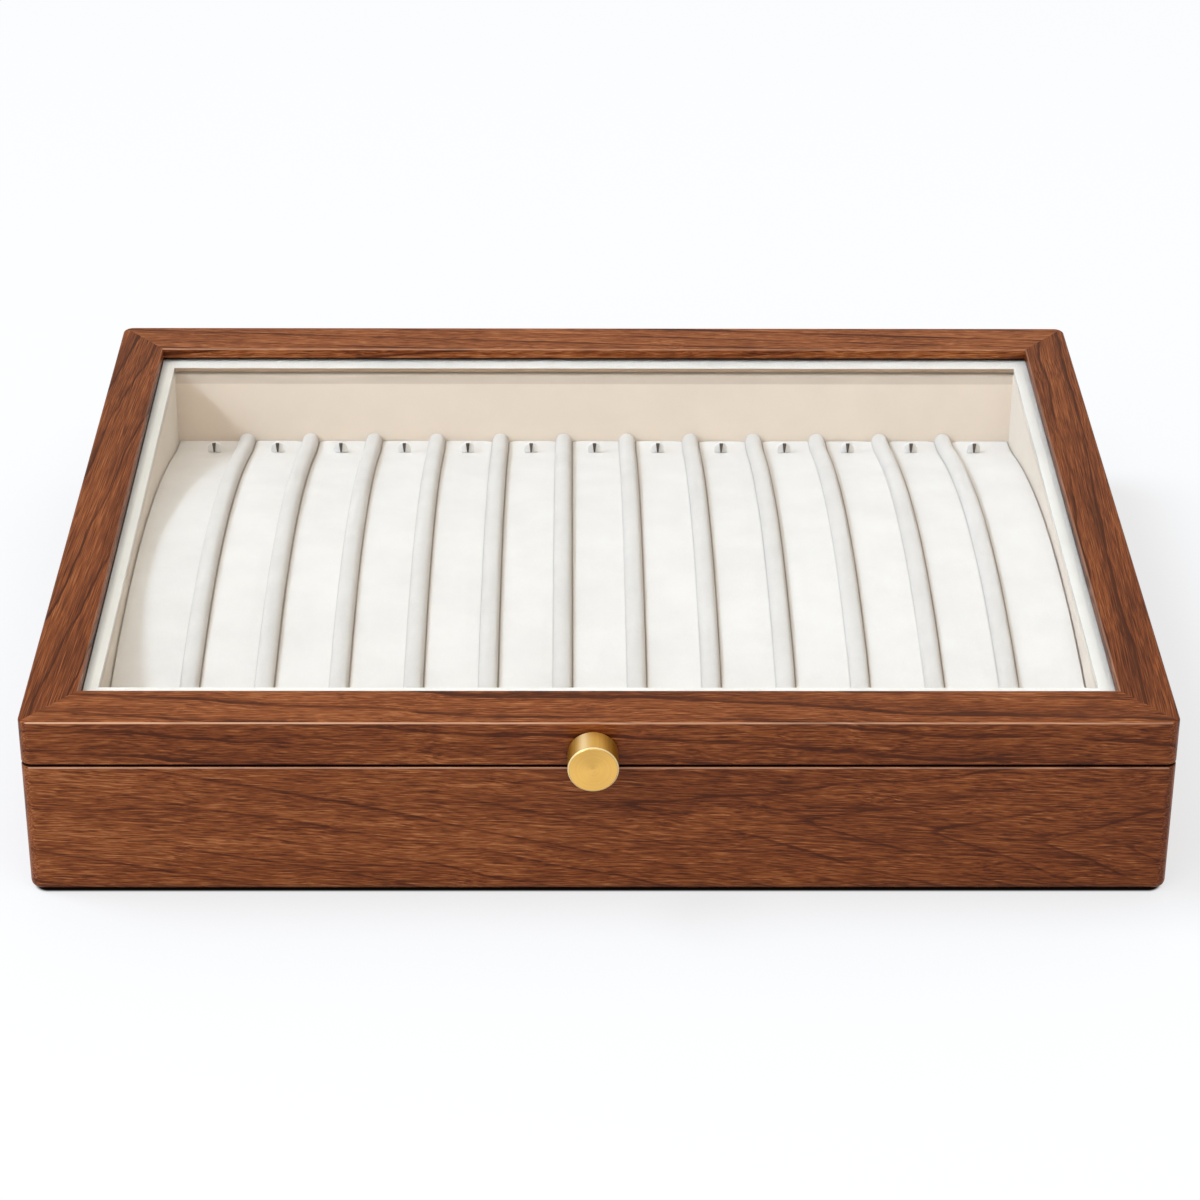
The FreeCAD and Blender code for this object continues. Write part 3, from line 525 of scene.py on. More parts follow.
def turned_brass(centre, colour):
    """Brass turned on a lathe: its face spreads light along the radius. Its colour also has a
    painted reflection fanned round the face, painted highlight bands and painted shade on the
    barrel, and a painted highlight on the rim.
    """
    # Colours of the painted shade and painted highlights on the barrel and rim
    barrel_painted_shade, barrel_painted_highlight = (0.40, 0.19, 0.012), (1.0, 0.62, 0.14)
    painted_glint_colour, rim_painted_highlight = (1.0, 0.78, 0.42), (1.0, 0.84, 0.46)
    finish = Finish("knob_brass")
    x, y, z = finish.split(finish.place(shift=tuple(-part / MM for part in centre)))
    forward = 0.0 - y
    square = x * x + z * z
    radius = square ** 0.5
    rings = finish.noise(finish.join(radius * 47.0, y * 47.0, 0.0), detail=1.0)
    broad = finish.noise(finish.join(radius * 2.3, y * 2.3, 3.0), roughness=0.6)
    to_world = {"vector_type": "NORMAL", "convert_from": "OBJECT", "convert_to": "WORLD"}
    outward = {"Vector": finish.join(x, 0.0, z).vector("NORMALIZE")}
    outward = finish.node("ShaderNodeVectorTransform", to_world, outward)
    turn = x.math("ARCTAN2", z)
    body = square.between((KNOB_RIM - 0.6) ** 2, (KNOB_RIM + 0.1) ** 2)
    body = body * forward.between(KNOB_FACE - 0.55, KNOB_FACE - 0.75)
    # Painted highlight: the rim chamfer is painted pale
    rim = radius.between(KNOB_RIM + 0.02, KNOB_RIM + 0.14)
    rim = rim * forward.between(KNOB_FACE - 0.55, KNOB_FACE - 0.42)
    tilt = (rings - 0.5) * 1.6 * (1 - body)
    pushed = outward.vector("MULTIPLY", finish.join(tilt, tilt, tilt))
    normal = finish.node("ShaderNodeNewGeometry", output="Normal")
    # Painted reflection: the face's colour is swept paler and darker round its centre
    fan = 0.5 - turn.math("COSINE") * 0.35 + ((turn - 0.5) * 2.0).math("SINE") * 0.25
    threads = finish.noise(finish.join(turn * 7.0, 0.0, 5.0), roughness=0.6)
    # Painted highlight bands and painted shade on the barrel
    far = (turn + 0.40) / 0.24
    painted_glint_band = (far * far * -1.0).math("EXPONENT")
    painted_bands = turn.between(1.2, 0.1) * turn.between(-1.3, -0.6) * 0.8 + (threads - 0.5) * 0.6
    turned = finish.mottle(broad.between(0.35, 0.65) * 0.2 + fan * 0.8, colour, 0.76)
    barrel = finish.mix(painted_glint_band * 0.9, finish.mix(painted_bands, barrel_painted_shade, barrel_painted_highlight), painted_glint_colour)
    return finish.surface({
        "Base Color": finish.mix(rim, finish.mix(body, turned, barrel), rim_painted_highlight),
        "Metallic": 1.0 - body * (painted_glint_band * 0.5 + 0.45) - rim * 0.6,
        "Roughness": 0.34 + broad * 0.06 + rim * 0.1,
        "Normal": normal.vector("ADD", pushed).vector("NORMALIZE"),
    })


def brushed_metal(name, colour, roughness):
    """Metal with fine scratches along X, for hinges, screws, magnets and hook pins."""
    finish = Finish(name)
    point = finish.place()
    scratches = finish.noise(point, (0.3, 6.0, 6.0), detail=3.0, roughness=0.7)
    stain = finish.noise(point, 0.2, detail=3.0)
    return finish.surface({
        "Base Color": finish.mottle(stain.between(0.35, 0.65), colour, 0.75),
        "Metallic": 1.0,
        "Roughness": roughness + scratches * 0.2,
        "Normal": finish.bump(scratches, 0.2, 0.03),
    })


def plain_wood():
    """The hidden bottom panel: pale rotary-cut veneer."""
    stops = [(0.3, (0.36, 0.22, 0.11)), (0.7, (0.56, 0.38, 0.21))]
    finish = Finish("bottom_veneer")
    point = finish.place()
    waves = finish.noise(point, (0.01, 0.08, 0.3), detail=4.0, roughness=0.6, distortion=1.2)
    fibre = finish.noise(point, (0.05, 2.0, 2.0), detail=3.0)
    return finish.surface({
        "Base Color": finish.ramp(waves * 0.7 + fibre * 0.3, stops),
        "Roughness": 0.6 + fibre * 0.15,
        "Normal": finish.bump(fibre, 0.2, 0.08),
    })


def felt(colour):
    """Dark felt with a matted surface."""
    finish = Finish("dark_felt")
    mat = finish.noise(finish.place(), 0.8, detail=5.0, roughness=0.75, distortion=1.5)
    return finish.surface({
        "Base Color": finish.mottle(mat.between(0.65, 0.35), colour, 1.7),
        "Roughness": 0.95 - mat * 0.05,
        "Sheen Weight": 0.3,
        "Normal": finish.bump(mat, 0.6, 0.3),
    })


def soft_dot():
    """Clear brown bumper dots, slightly dusty."""
    brown, dusty = (0.10, 0.07, 0.05), (0.16, 0.12, 0.09)
    finish = Finish("bumper_soft")
    dust = finish.noise(finish.place(), 1.5, detail=3.0)
    return finish.surface({
        "Base Color": finish.mix(dust.between(0.4, 0.6), brown, dusty),
        "Roughness": 0.5 + dust * 0.2,
    })


# Modelling helpers


def deselect():
    if bpy.context.object and bpy.context.object.mode != "OBJECT":
        bpy.ops.object.mode_set(mode="OBJECT")
    bpy.ops.object.select_all(action="DESELECT")


def new_piece(name):
    """Names the primitive just added and moves its place into its mesh."""
    piece = bpy.context.object
    piece.name = piece.data.name = name
    bpy.ops.object.transform_apply(location=True, rotation=True, scale=True)
    return piece


def edit():
    bpy.ops.object.mode_set(mode="EDIT")


def done():
    bpy.ops.object.mode_set(mode="OBJECT")


def select(piece, kind, test):
    """Selects, in edit mode, just the vertices or edges that pass the test."""
    bpy.ops.mesh.select_mode(type=kind)
    bpy.ops.mesh.select_all(action="DESELECT")
    mesh = bmesh.from_edit_mesh(piece.data)
    for part in {"VERT": mesh.verts, "EDGE": mesh.edges}[kind]:
        part.select_set(test(part))
    mesh.select_flush_mode()
    bmesh.update_edit_mesh(piece.data)


def spin(centre, turn, steps):
    """Spins what is selected about X through centre; turn is right-handed."""
    bpy.ops.mesh.spin(steps=steps, angle=-turn, center=centre, axis=X_AXIS)


def select_whole():
    bpy.ops.mesh.select_all(action="SELECT")


def face_out():
    """Turns all faces outwards."""
    select_whole()
    bpy.ops.mesh.normals_make_consistent(inside=False)


def clean():
    """Merges doubled points and turns all faces outwards."""
    select_whole()
    bpy.ops.mesh.remove_doubles(threshold=0.01 * MM)
    face_out()


def bevel(width, segments):
    """Rounds the selected edges over a width in millimetres."""
    bpy.ops.mesh.bevel(offset=width * MM, segments=segments, affect="EDGES")


def thicken(sheet, depth):
    """Gives a sheet a thickness, on the side that its faces look away from."""
    modifier = sheet.modifiers.new("Thickness", "SOLIDIFY")
    modifier.thickness = depth
    modifier.offset = -1
    bpy.context.view_layer.objects.active = sheet
    bpy.ops.object.modifier_apply(modifier=modifier.name)


def smooth(piece, angle=35):
    deselect()
    piece.select_set(True)
    bpy.context.view_layer.objects.active = piece
    bpy.ops.object.shade_smooth_by_angle(angle=math.radians(angle))


def dress(piece, material):
    piece.data.materials.clear()
    piece.data.materials.append(material)


def dress_node(label, material):
    """Gives a CAD node its finish."""
    for holder in NODES[label].material_slots:
        holder.material = material


def cuboid(name, low, high):
    """A box between two corners, ready for edit mode."""
    deselect()
    low, high = Vector(low), Vector(high)
    bpy.ops.mesh.primitive_cube_add(size=1, location=(low + high) / 2)
    bpy.context.object.scale = high - low
    return new_piece(name)


# The pad's line, in the YZ plane: a ledge, a valley and a long crown


def at(y, z):
    return Vector((0, y, z))


class PadLine:
    """The line that the pad and the rolls follow, from the back to the front."""

    def __init__(self, shape, lift, back, front):
        slope = shape.ledge_angle
        ledge = at(PAD_HIGH.y, shape.ledge_height)
        self.forward = at(-math.cos(slope), -math.sin(slope))
        self.normal = at(-math.sin(slope), math.cos(slope))
        crest = at(-shape.crest_forward, PAD_HIGH.z)
        bend = ledge + self.forward * (shape.ledge_length / math.cos(slope))
        run = bend.y - crest.y
        drop = crest.z - bend.z
        crown = (run ** 2 + drop ** 2) / (2 * drop)
        self.crown_centre = crest - at(0, crown)
        above = ledge + self.normal * shape.valley_radius
        gap = above - self.crown_centre
        along = gap.dot(self.forward)
        reach = crown + shape.valley_radius
        self.valley_centre = above + self.forward * (
            -along - math.sqrt(along ** 2 - gap.dot(gap) + reach ** 2)
        )
        lifted = ledge + self.normal * lift
        self.start = lifted + self.forward * ((lifted.y - back) / math.cos(slope))
        self.foot = self.valley_centre - self.normal * (shape.valley_radius - lift)
        rise = self.angle(self.valley_centre, self.crown_centre)
        self.valley_turn = rise - math.pi - self.angle(self.foot, self.valley_centre)
        lifted_crown = crown + lift
        self.end = at(
            front,
            self.crown_centre.z + math.sqrt(lifted_crown ** 2 - (front - self.crown_centre.y) ** 2),
        )
        self.crown_turn = self.angle(self.end, self.crown_centre) - rise
        end_normal = (self.end - self.crown_centre).normalized()
        self.onward = at(-end_normal.z, end_normal.y)

    @staticmethod
    def angle(point, centre):
        return math.atan2(point.z - centre.z, point.y - centre.y)

    def sweep(self, ledge_steps, valley_steps, crown_steps):
        """Sweeps what is selected along the line."""
        step = {"value": (self.foot - self.start) / ledge_steps}
        for _ in range(ledge_steps):
            bpy.ops.mesh.extrude_region_move(TRANSFORM_OT_translate=step)
        spin(self.valley_centre, self.valley_turn, valley_steps)
        spin(self.crown_centre, self.crown_turn, crown_steps)


def divider_x(n, y, shape):
    """The middle of a roll at a depth: hand-laid rolls spread a little halfway along."""
    forward = max(0.0, min(1.0, (PAD_HIGH.y - y) / (PAD_HIGH.y - PAD_LOW.y)))
    pitch = shape.pitch + shape.fan * math.sin(forward * math.pi)
    return (n - (DIVIDERS - 1) / 2) * pitch + shape.rolls_shift


# Sizes and colours that a user would change


def number(name, description, default, unit="NONE"):
    return FloatProperty(name=name, description=description, default=default, unit=unit)


def length(name, description, millimetres):
    return number(name, description, millimetres * MM, "LENGTH")


def angle(name, description, degrees):
    return number(name, description, math.radians(degrees), "ROTATION")


def colour(name, description, default):
    return FloatVectorProperty(
        name=name, description=description, default=default, subtype="COLOR", min=0, max=1
    )


class BoxWalnut(bpy.types.PropertyGroup):
    """The walnut of the case and lid."""

    ring_sway: number("Ring sway", "How far the rings wander, in millimetres", 5.0)
    ring_line: number("Ring line", "How wide the dark end of a ring is, in millimetres", 0.45)
    ring_depth: number("Ring depth", "How dark the end of a ring is", 1.0)
    fibre_wave: number("Fibre wave", "How far the fibres wave, in millimetres", 2.4)
    pore_depth: number("Pore depth", "How dark the pores are", 0.5)
    wood_dark: colour("Dark streaks", "Darkest walnut", (0.085, 0.018, 0.004))
    wood_mid: colour("Brown", "Main walnut colour", (0.205, 0.050, 0.012))
    wood_warm: colour("Warm brown", "Warm walnut colour", (0.320, 0.092, 0.024))
    wood_light: colour("Light streaks", "Palest walnut", (0.54, 0.205, 0.075))
    wood_pore: colour("Pores", "Colour inside the pores", (0.028, 0.006, 0.002))
    # Colour of the painted highlight on the rounded edges
    wood_highlight: colour("Painted edge highlights", "Walnut on the rounded edges", (0.80, 0.47, 0.31))


class BoxPad(bpy.types.PropertyGroup):
    """The pad, its rolls, the lining and the other soft or white pieces."""

    ledge_height: length("Ledge height", "Top of the pad at the back", 25.6)
    ledge_length: length("Ledge length", "From the back to the bend", 14.0)
    ledge_angle: angle("Ledge angle", "How far the ledge falls to the front", -8.5)
    valley_radius: length("Valley radius", "Radius of the valley", 70.0)
    crest_forward: length("Crest", "The crest is this far in front of the middle", 27.0)
    pitch: length("Pitch", "From roll to roll", 23.45)
    fan: length("Fan", "How much wider the pitch is at the middle of the rolls", 0.1)
    rolls_shift: length("Shift", "The rolls lie this far to the right", 0.4)
    roll_gap: length("Roll gap", "From the pad to a roll", 0.15)
    crease: length("Crease", "How deep the cloth is drawn in beside a roll", 0.5)
    pillow: length("Pillow", "How high the cloth swells between rolls", 0.25)
    cream: colour("Cream", "Pad cloth", (0.83, 0.80, 0.76))
    cream_shade: colour("Cream shade", "Pad cloth between the fibres", (0.77, 0.735, 0.695))
    roll_cloth: colour("Roll cloth", "Cloth of the rolls", (0.735, 0.70, 0.66))
    roll_shade: colour("Roll shade", "Cloth of the rolls, darker", (0.665, 0.63, 0.59))
    beige: colour("Beige", "Lining suede", (0.895, 0.785, 0.66))
    beige_shade: colour("Beige shade", "Lining suede between the fibres", (0.845, 0.735, 0.615))
    white: colour("White", "Frame round the glass", (0.87, 0.87, 0.85))
    hook_white: colour("Hook white", "Hook tabs", (1.0, 0.985, 0.965))
    felt: colour("Felt", "Felt under the case", (0.022, 0.017, 0.014))


class BoxMetal(bpy.types.PropertyGroup):
    """The knob and the fittings."""

    brass: colour("Brass", "Knob and hinges", (0.90, 0.54, 0.145))
    steel: colour("Steel", "Screws and magnets", (0.62, 0.60, 0.56))
    pin: colour("Pin", "Hook pins", (0.12, 0.095, 0.075))


class BoxStage(bpy.types.PropertyGroup):
    """Lamps, floor and camera."""

    key_lamp: number("Key", "Strength of the key lamp", 0.80)
    key_lamp_size: angle("Key size", "How wide the key lamp looks", 7.0)
    edge_strip: number("Strip", "Watts of the strip that lights the front edge", 7.0)
    left_softbox: number("Side", "Watts of the softbox on the left", 1.6)
    sky_strength: number("Sky", "Light from all round", 0.61)
    sky_tint: colour("Sky tint", "Colour of the light from all round", (1.0, 0.885, 0.745))
    floor_lamp: number("Floor lamp", "Strength of the lamp on the floor", 1.0)
    floor_lamp_size: angle("Floor lamp size", "How wide the lamp on the floor looks", 25.0)
    frame_lamp: number("Frame lamp", "Strength of the lamp on the white frame", 1.05)
    frame_lamp_size: angle("Frame lamp size", "How wide the lamp on the frame looks", 40.0)
    floor_glow: number("Floor glow", "White that the floor adds for the eye", 0.61)
    floor_grey: colour("Floor", "Colour of the floor", (0.37, 0.415, 0.48))
    lens: number("Lens", "Focal length", 104.477, "CAMERA")
    camera_pitch: angle("Pitch", "How far the camera looks down", 28.503)
    camera_yaw: angle("Yaw", "How far the camera looks to the right", 0.568)
    camera_roll: angle("Roll", "Turn about the line of sight", 0.303)
    camera_place: FloatVectorProperty(
        name="Place",
        description="Where the camera stands",
        default=(-9.07 * MM, -1045.81 * MM, 591.56 * MM),
        subtype="TRANSLATION",
    )


GROUPS = {"box_walnut": BoxWalnut, "box_pad": BoxPad, "box_metal": BoxMetal, "box_stage": BoxStage}


# Where the lamps stand, in metres. Only the way from there counts for a sun. The
# strength and the size of a lamp are settings of the stage under its name

SUNS = {
    "key_lamp": (-0.92, -0.56, 1.0),
    "floor_lamp": (-0.70, 0.17, 1.0),
    "frame_lamp": (-0.08, -0.2, 1.0),
}
KEY_TINT = (0.82, 0.98, 1.22)
SOFTBOXES = {
    "edge_strip": ((0, -1.0, 1.8), (1.9, 0.12)),
    "left_softbox": ((-0.95, -0.85, 0.55), (0.6, 0.5)),
}

# The floor is a square that lies mostly behind the box. Under the case it has a painted
# contact shadow, dark and without glow, with corners of this radius in millimetres

FLOOR_SIZE = 30
FLOOR_MIDDLE = (0, 6, 0)
PAINTED_CONTACT_SHADOW = (0.02, 0.018, 0.016)
SHADOW_CORNER = 4.5


# One operator for each piece or group of like pieces


class BOX_OT_stage(bpy.types.Operator):
    """Sets the camera, the lamps and the white floor"""

    bl_idname = "jewelry_box.stage"
    bl_label = "Stage"

    def execute(self, context):
        stage = context.scene.box_stage
        self.camera(context, stage)
        self.lamps(stage)
        self.world(context, stage)
        self.floor(stage)
        context.scene.view_settings.view_transform = "Standard"
        return {"FINISHED"}

    def camera(self, context, stage):
        deselect()
        bpy.ops.object.camera_add(location=stage.camera_place)
        camera = context.object
        camera.name = "camera"
        camera.data.sensor_width = 36
        camera.data.lens = stage.lens
        camera.data.clip_end = 50
        look = Euler((math.pi / 2 - stage.camera_pitch, 0, -stage.camera_yaw)).to_matrix()
        look = look @ Matrix.Rotation(stage.camera_roll, 3, "Z")
        camera.rotation_euler = look.to_euler()
        context.scene.camera = camera

    def lamps(self, stage):
        for name, source in SUNS.items():
            light = self.lamp(name, "SUN", source, getattr(stage, name))
            light.angle = getattr(stage, name + "_size")
        bpy.data.objects["key_lamp"].data.color = KEY_TINT
        for name, (place, size) in SOFTBOXES.items():
            light = self.lamp(name, "AREA", place, getattr(stage, name))
            light.shape = "RECTANGLE"
            light.size, light.size_y = size

    def lamp(self, name, kind, place, energy):
        """A lamp that looks at the middle of the box's foot."""
        deselect()
        bpy.ops.object.light_add(type=kind, location=place)
        lamp = bpy.context.object
        lamp.name = name
        lamp.rotation_euler = Vector(place).to_track_quat("Z", "Y").to_euler()
        lamp.data.energy = energy
        return lamp.data

    def world(self, context, stage):
        """A warm sky that lights the box. The camera sees a plain one."""
        world = bpy.data.worlds.new("room")
        context.scene.world = world
        sky = Finish("room", world)
        warm = {"Color": (*stage.sky_tint, 1), "Strength": stage.sky_strength}
        light = sky.node("ShaderNodeBackground", None, warm)
        shown = sky.node("ShaderNodeBackground", None, {"Strength": 1.0})
        sky.show(sky.blend(sky.ray("Camera"), light, shown), "ShaderNodeOutputWorld")

    def floor(self, stage):
        deselect()
        bpy.ops.mesh.primitive_plane_add(size=FLOOR_SIZE, location=FLOOR_MIDDLE)
        floor = new_piece("floor")
        dress(floor, self.white_floor(stage))
        frame_strips = [NODES["glass_retainer_" + side] for side in SIDES]
        self.link_lamp("key_lamp", [floor, *frame_strips], "EXCLUDE")
        self.link_lamp("floor_lamp", [floor], "INCLUDE")
        self.link_lamp("frame_lamp", frame_strips, "INCLUDE")

    def white_floor(self, stage):
        """Paper that glows a little for the eye, with a painted contact shadow under the case."""
        finish = Finish("floor_white")
        point = finish.place()
        x, y, z = finish.split(point)
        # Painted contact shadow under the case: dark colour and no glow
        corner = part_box("base_wall_back")[1] / MM - Vector((SHADOW_CORNER, SHADOW_CORNER, 0))
        out = (x.size() - corner.x).most(0.0)
        over = (y.size() - corner.y).most(0.0)
        reach = (out * out + over * over) ** 0.5
        clear_of_shadow = reach.between(SHADOW_CORNER - 1.0, SHADOW_CORNER + 0.3)
        speckle = finish.noise(point, 0.02)
        grey = stage.floor_grey
        paper = finish.mix(speckle, grey, [part * 1.01 for part in grey])
        colours = {"Color": finish.mix(clear_of_shadow, PAINTED_CONTACT_SHADOW, paper)}
        cloth = finish.node("ShaderNodeBsdfDiffuse", None, colours)
        white = finish.mix(clear_of_shadow, (0, 0, 0), (1, 1, 1))
        light = {"Color": white, "Strength": stage.floor_glow}
        glow = finish.node("ShaderNodeEmission", None, light)
        seen = finish.ray("Camera").most(finish.ray("Glossy")).most(finish.ray("Transmission"))
        bright = finish.node("ShaderNodeAddShader", None, {0: cloth, 1: glow})
        return finish.show(finish.blend(seen, cloth, bright))

    def link_lamp(self, name, pieces, state):
        """Lets a lamp light just these pieces, or all but these."""
        receivers = bpy.data.collections.new(name + "_receivers")
        for piece in pieces:
            receivers.objects.link(piece)
        for link in receivers.collection_objects:
            link.light_linking.link_state = state
        bpy.data.objects[name].light_linking.receiver_collection = receivers


class BOX_OT_walnut(bpy.types.Operator):
    """Gives every walnut board its own grain"""

    bl_idname = "jewelry_box.walnut"
    bl_label = "Walnut boards"

    def execute(self, context):
        for label, grain in GRAINS.items():
            dress_node(label, walnut(label, grain, context.scene.box_walnut))
        return {"FINISHED"}


class BOX_OT_lining(bpy.types.Operator):
    """Wraps the four lining boards in suede"""

    bl_idname = "jewelry_box.lining"
    bl_label = "Suede lining"

    def execute(self, context):
        pad = context.scene.box_pad
        for side in SIDES:
            # Painted shade on the side boards: their suede colours are scaled down
            nap = LINING_PAINTED_SHADE[side]
            # The back board's cloth gets a painted shadow along its top
            cloth = suede(
                "beige_suede_" + side,
                [part * nap for part in pad.beige],
                [part * nap for part in pad.beige_shade],
                painted_shade=top_painted_shadow if side == "back" else None,
            )
            label = "lining_" + side
            low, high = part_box(label)
            board = cuboid("suede_" + side, low, high)
            edit()
            long_axis = 0 if side in ("front", "back") else 1
            top = high.z

            def is_top_edge(edge):
                first, last = (vert.co for vert in edge.verts)
                level = abs(first.z - top) < MM and abs(last.z - top) < MM
                return level and abs(first[long_axis] - last[long_axis]) > MM

            select(board, "EDGE", is_top_edge)
            bevel(1.5, 5)
            face_out()
            done()
            smooth(board)
            dress(board, cloth)
            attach(board, "base")
            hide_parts(label)
        return {"FINISHED"}


# The thickness of the pad's sheet, and how finely the pad and a roll are made: their
# steps over the ledge, the valley and the crown, and the cuts across the pad

PAD_SKIN = 5.0 * MM
PAD_STEPS = (3, 8, 48)
PAD_CUTS = 415
ROLL_STEPS = (2, 8, 46)
ROLL_SIDES = 24
DOME_STEPS = 8

# The ball at the end of a roll is pressed flat to this share of its depth

BLUNT = 0.5

# How wide a crease is, how far from the pad's side and back rims its cloth swells
# less, and how high and how far apart the cloth and the rolls are uneven

CREASE_WIDTH = 0.9 * MM
SIDE_RIM = 4 * MM
BACK_RIM = 20 * MM
CLOTH_UNEVEN = (0.12 * MM, 34 * MM)
ROLL_UNEVEN = (0.06 * MM, 30 * MM)


class BOX_OT_pad(bpy.types.Operator):
    """Makes the curved necklace pad with its drawn-in cloth"""

    bl_idname = "jewelry_box.pad"
    bl_label = "Necklace pad"

    def execute(self, context):
        shape = context.scene.box_pad
        line = PadLine(shape, 0.0, PAD_HIGH.y, PAD_LOW.y)
        deselect()
        bpy.ops.mesh.primitive_plane_add(size=PAD_HIGH.x - PAD_LOW.x, location=line.start)
        pad = new_piece("necklace_pad_cloth")
        edit()
        select(pad, "VERT", lambda vert: vert.co.y < line.start.y)
        bpy.ops.mesh.delete(type="VERT")
        select_whole()
        bpy.ops.transform.translate(value=(0, (PAD_LOW.x - PAD_HIGH.x) / 2, 0))
        bpy.ops.mesh.select_mode(type="EDGE")
        select_whole()
        bpy.ops.mesh.subdivide(number_cuts=PAD_CUTS)
        line.sweep(*PAD_STEPS)
        clean()
        done()
        self.draw_in(pad, shape)
        self.face_up(pad)
        thicken(pad, PAD_SKIN)
        self.round_rim(pad)
        smooth(pad)
        cloth = suede("cream_suede", shape.cream, shape.cream_shade, painted_shade=pad_painted_shade)
        dress(pad, cloth)
        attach(pad, "base")
        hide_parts("necklace_pad", "pad_core")
        return {"FINISHED"}

    def face_up(self, pad):
        """Turns the sheet's faces up before it gets its thickness."""
        edit()
        select_whole()
        mesh = bmesh.from_edit_mesh(pad.data)
        if sum(face.normal.z for face in mesh.faces) < 0:
            bpy.ops.mesh.flip_normals()
        done()

    def draw_in(self, pad, shape):
        """Draws the cloth in beside each roll and lets it swell between them."""
        for vert in pad.data.vertices:
            x, y, z = vert.co
            edge = min(abs(x - divider_x(n, y, shape)) for n in range(DIVIDERS)) - ROLL_RADIUS
            crease = math.exp(-((edge / CREASE_WIDTH) ** 2)) * shape.crease
            half = shape.pitch / 2 - ROLL_RADIUS
            share = max(0.0, min(1.0, edge / half))
            swell = math.sin(share * math.pi / 2) * shape.pillow
            rim = min(1.0, (PAD_HIGH.x - abs(x)) / SIDE_RIM, (PAD_HIGH.y - y) / BACK_RIM)
            vert.co.z += swell * rim - crease - shape.pillow
            vert.co.z += CLOTH_UNEVEN[0] * noise.noise(Vector((x, y, 0)) / CLOTH_UNEVEN[1])

    def round_rim(self, pad):
        """Rounds the pad over at its sides and back."""
        edit()

        def is_rim(edge):
            first, last = edge.verts
            out = min(abs(first.co.x), abs(last.co.x)) > PAD_HIGH.x - 0.1 * MM
            out = out or min(first.co.y, last.co.y) > PAD_HIGH.y - 0.1 * MM
            return out and edge.is_manifold and edge.calc_face_angle() > math.radians(60)

        select(pad, "EDGE", is_rim)
        bevel(0.9, 3)
        done()


class BOX_OT_rolls(bpy.types.Operator):
    """Makes the rolled dividers"""

    bl_idname = "jewelry_box.rolls"
    bl_label = "Rolled dividers"

    def execute(self, context):
        shape = context.scene.box_pad
        cloth = suede("roll_suede", shape.roll_cloth, shape.roll_shade, 0.8, lean=0.6)
        first = self.first_roll(shape)
        for n in range(DIVIDERS):
            roll = first if n == DIVIDERS - 1 else first.copy()
            if roll is not first:
                roll.data = first.data.copy()
                context.collection.objects.link(roll)
            label = "divider_%02d" % (n + 1)
            roll.name = roll.data.name = "roll_%02d" % (n + 1)
            for vert in roll.data.vertices:
                place = Vector((n * 7.0, vert.co.y / ROLL_UNEVEN[1], 0))
                vert.co.x += divider_x(n, vert.co.y, shape) + ROLL_UNEVEN[0] * noise.noise(place)
            dress(roll, cloth)
            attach(roll, "base")
            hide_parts(label)
        return {"FINISHED"}

    def first_roll(self, shape):
        """A half round on the middle line, with a flattened dome at each end."""
        back = PAD_HIGH.y - ROLL_RADIUS * BLUNT
        line = PadLine(shape, shape.roll_gap - shape.pillow, back, -back)
        deselect()
        bpy.ops.mesh.primitive_circle_add(
            vertices=ROLL_SIDES,
            radius=ROLL_RADIUS,
            fill_type="NGON",
            location=line.start,
            rotation=(shape.ledge_angle, 0, 0),
        )
        roll = new_piece("roll")
        edit()
        select_whole()
        bpy.ops.mesh.bisect(plane_co=line.start, plane_no=-line.forward, clear_inner=True)
        select_whole()
        spin(line.start, math.pi / 2, DOME_STEPS)
        line.sweep(*ROLL_STEPS)
        spin(line.end, math.pi / 2, DOME_STEPS)
        clean()
        done()
        for vert in roll.data.vertices:
            for middle, outward in ((line.start, -line.forward), (line.end, line.onward)):
                past = (vert.co - middle).dot(outward)
                if past > 0:
                    vert.co -= outward * (past * (1 - BLUNT))
        smooth(roll, 50)
        return roll


class BOX_OT_hooks(bpy.types.Operator):
    """Finishes the hook tabs and their pins"""

    bl_idname = "jewelry_box.hooks"
    bl_label = "Hooks"

    def execute(self, context):
        tab = hook_white(context.scene.box_pad.hook_white)
        for n in range(HOOKS):
            dress_node("hook_tab_%02d" % (n + 1), tab)
        dress_node("hook_pins", brushed_metal("hook_steel", context.scene.box_metal.pin, 0.35))
        return {"FINISHED"}


class BOX_OT_glass(bpy.types.Operator):
    """Cuts the pane with its ground edges and finishes the white frame round it"""

    bl_idname = "jewelry_box.glass"
    bl_label = "Glass and frame"

    def execute(self, context):
        low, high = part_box("glass_pane")
        clear = Vector((0, 0, 0.04 * MM))
        pane = cuboid("glass_sheet", low + clear, high)
        edit()
        select_whole()
        bevel(0.3, 1)
        face_out()
        done()
        dress(pane, clear_glass())
        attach(pane, "lid")
        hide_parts("glass_pane")
        film = white_wrap(context.scene.box_pad.white)
        for side in SIDES:
            dress_node("glass_retainer_" + side, film)
        return {"FINISHED"}


class BOX_OT_knob(bpy.types.Operator):
    """Finishes the brass knob"""

    bl_idname = "jewelry_box.knob"
    bl_label = "Knob"

    def execute(self, context):
        centre = (KNOB_LOW + KNOB_HIGH) / 2
        dress_node("knob", turned_brass(centre, context.scene.box_metal.brass))
        return {"FINISHED"}


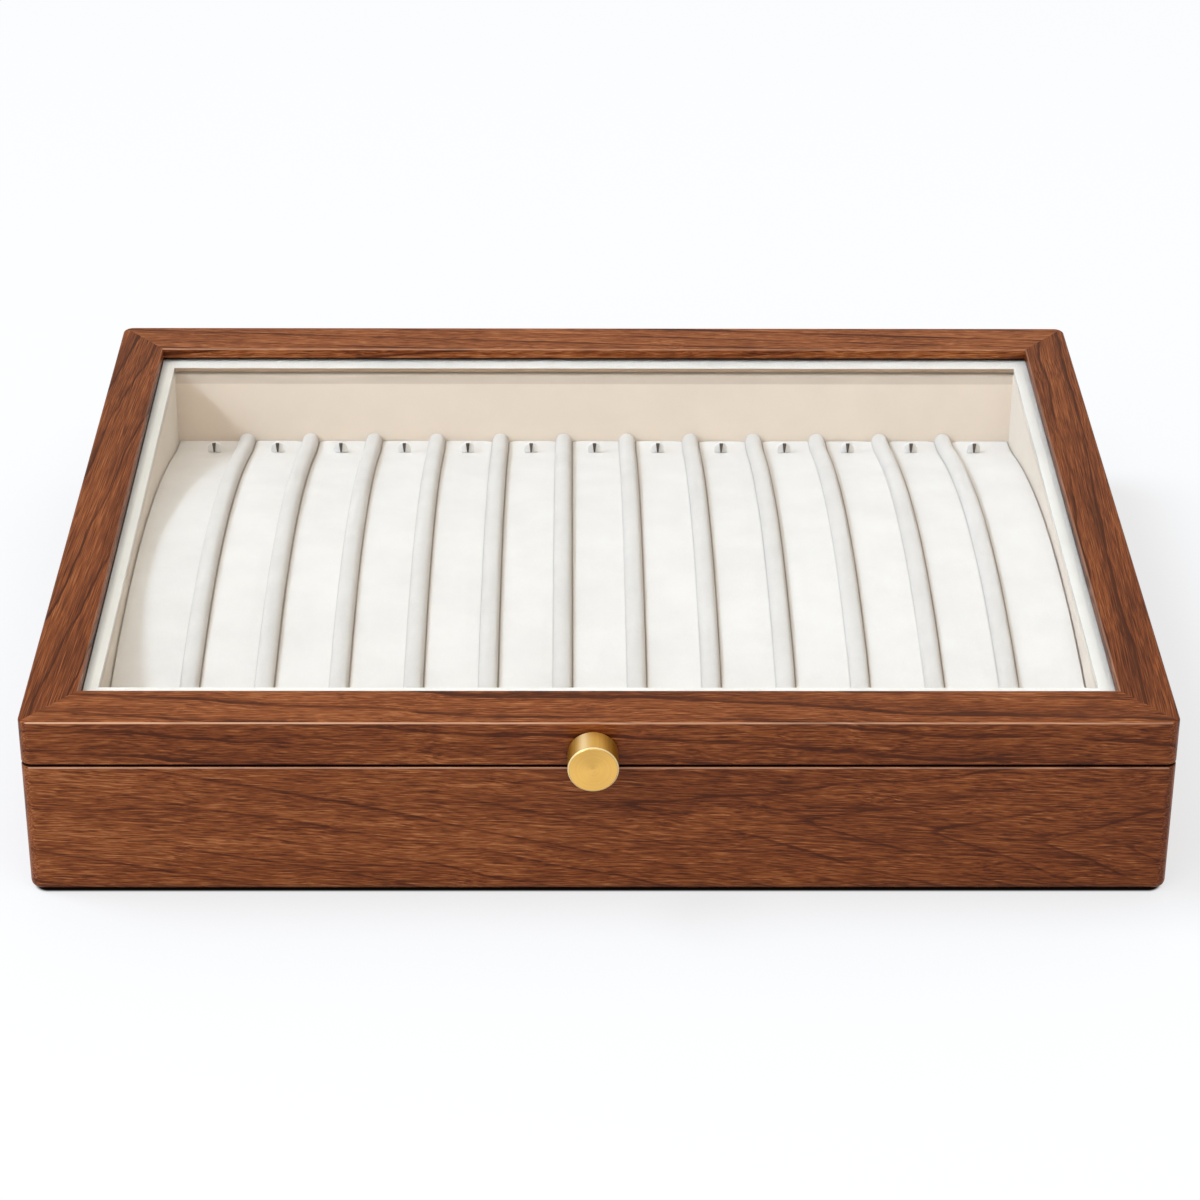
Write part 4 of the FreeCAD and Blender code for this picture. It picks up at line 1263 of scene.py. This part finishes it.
class BOX_OT_fittings(bpy.types.Operator):
    """Finishes hinges, screws, magnets and bumper dots"""

    bl_idname = "jewelry_box.fittings"
    bl_label = "Fittings"

    def execute(self, context):
        metal = context.scene.box_metal
        brass = brushed_metal("hinge_brass", metal.brass, 0.28)
        steel = brushed_metal("screw_steel", metal.steel, 0.3)
        for label in NODES:
            if label.startswith(("hinge_base", "hinge_lid", "hinge_pins")):
                dress_node(label, brass)
            elif label.startswith(("hinge_screws", "knob_screw")) or label.endswith("magnets"):
                dress_node(label, steel)
        dress_node("seam_bumpers", soft_dot())
        return {"FINISHED"}


class BOX_OT_bottom(bpy.types.Operator):
    """Finishes the bottom panel and lays the felt under it"""

    bl_idname = "jewelry_box.bottom"
    bl_label = "Bottom and felt"

    def execute(self, context):
        dress_node("bottom_panel", plain_wood())
        low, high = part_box("felt_sheet")
        sheet = cuboid("felt_cloth", low, high)
        edit()
        select(sheet, "EDGE", lambda edge: abs(edge.verts[0].co.z - edge.verts[1].co.z) > MM / 10)
        bevel(4, 4)
        select(sheet, "EDGE", lambda edge: max(vert.co.z for vert in edge.verts) < MM / 10)
        bevel(0.3, 2)
        face_out()
        done()
        smooth(sheet)
        dress(sheet, felt(context.scene.box_pad.felt))
        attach(sheet, "base")
        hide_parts("felt_sheet")
        return {"FINISHED"}


OPERATORS = (
    BOX_OT_stage,
    BOX_OT_walnut,
    BOX_OT_lining,
    BOX_OT_pad,
    BOX_OT_rolls,
    BOX_OT_hooks,
    BOX_OT_glass,
    BOX_OT_knob,
    BOX_OT_fittings,
    BOX_OT_bottom,
)


class BOX_PT_panel(bpy.types.Panel):
    """Lists the box's pieces in the sidebar"""

    bl_idname = "BOX_PT_panel"
    bl_label = "Jewelry box"
    bl_space_type = "VIEW_3D"
    bl_region_type = "UI"
    bl_category = "Jewelry box"

    def draw(self, context):
        for group, kind in GROUPS.items():
            box = self.layout.box()
            for name in kind.__annotations__:
                box.prop(getattr(context.scene, group), name)
        for operator in OPERATORS:
            self.layout.operator(operator.bl_idname)


def register():
    for kind in (*GROUPS.values(), *OPERATORS, BOX_PT_panel):
        bpy.utils.register_class(kind)
    for name, kind in GROUPS.items():
        setattr(bpy.types.Scene, name, PointerProperty(type=kind))


def unregister():
    for name in GROUPS:
        delattr(bpy.types.Scene, name)
    for kind in (BOX_PT_panel, *reversed(OPERATORS), *reversed(GROUPS.values())):
        bpy.utils.unregister_class(kind)


def main():
    register()
    for operator in OPERATORS:
        group, name = operator.bl_idname.split(".")
        getattr(getattr(bpy.ops, group), name)()


if __name__ == "__main__":
    main()
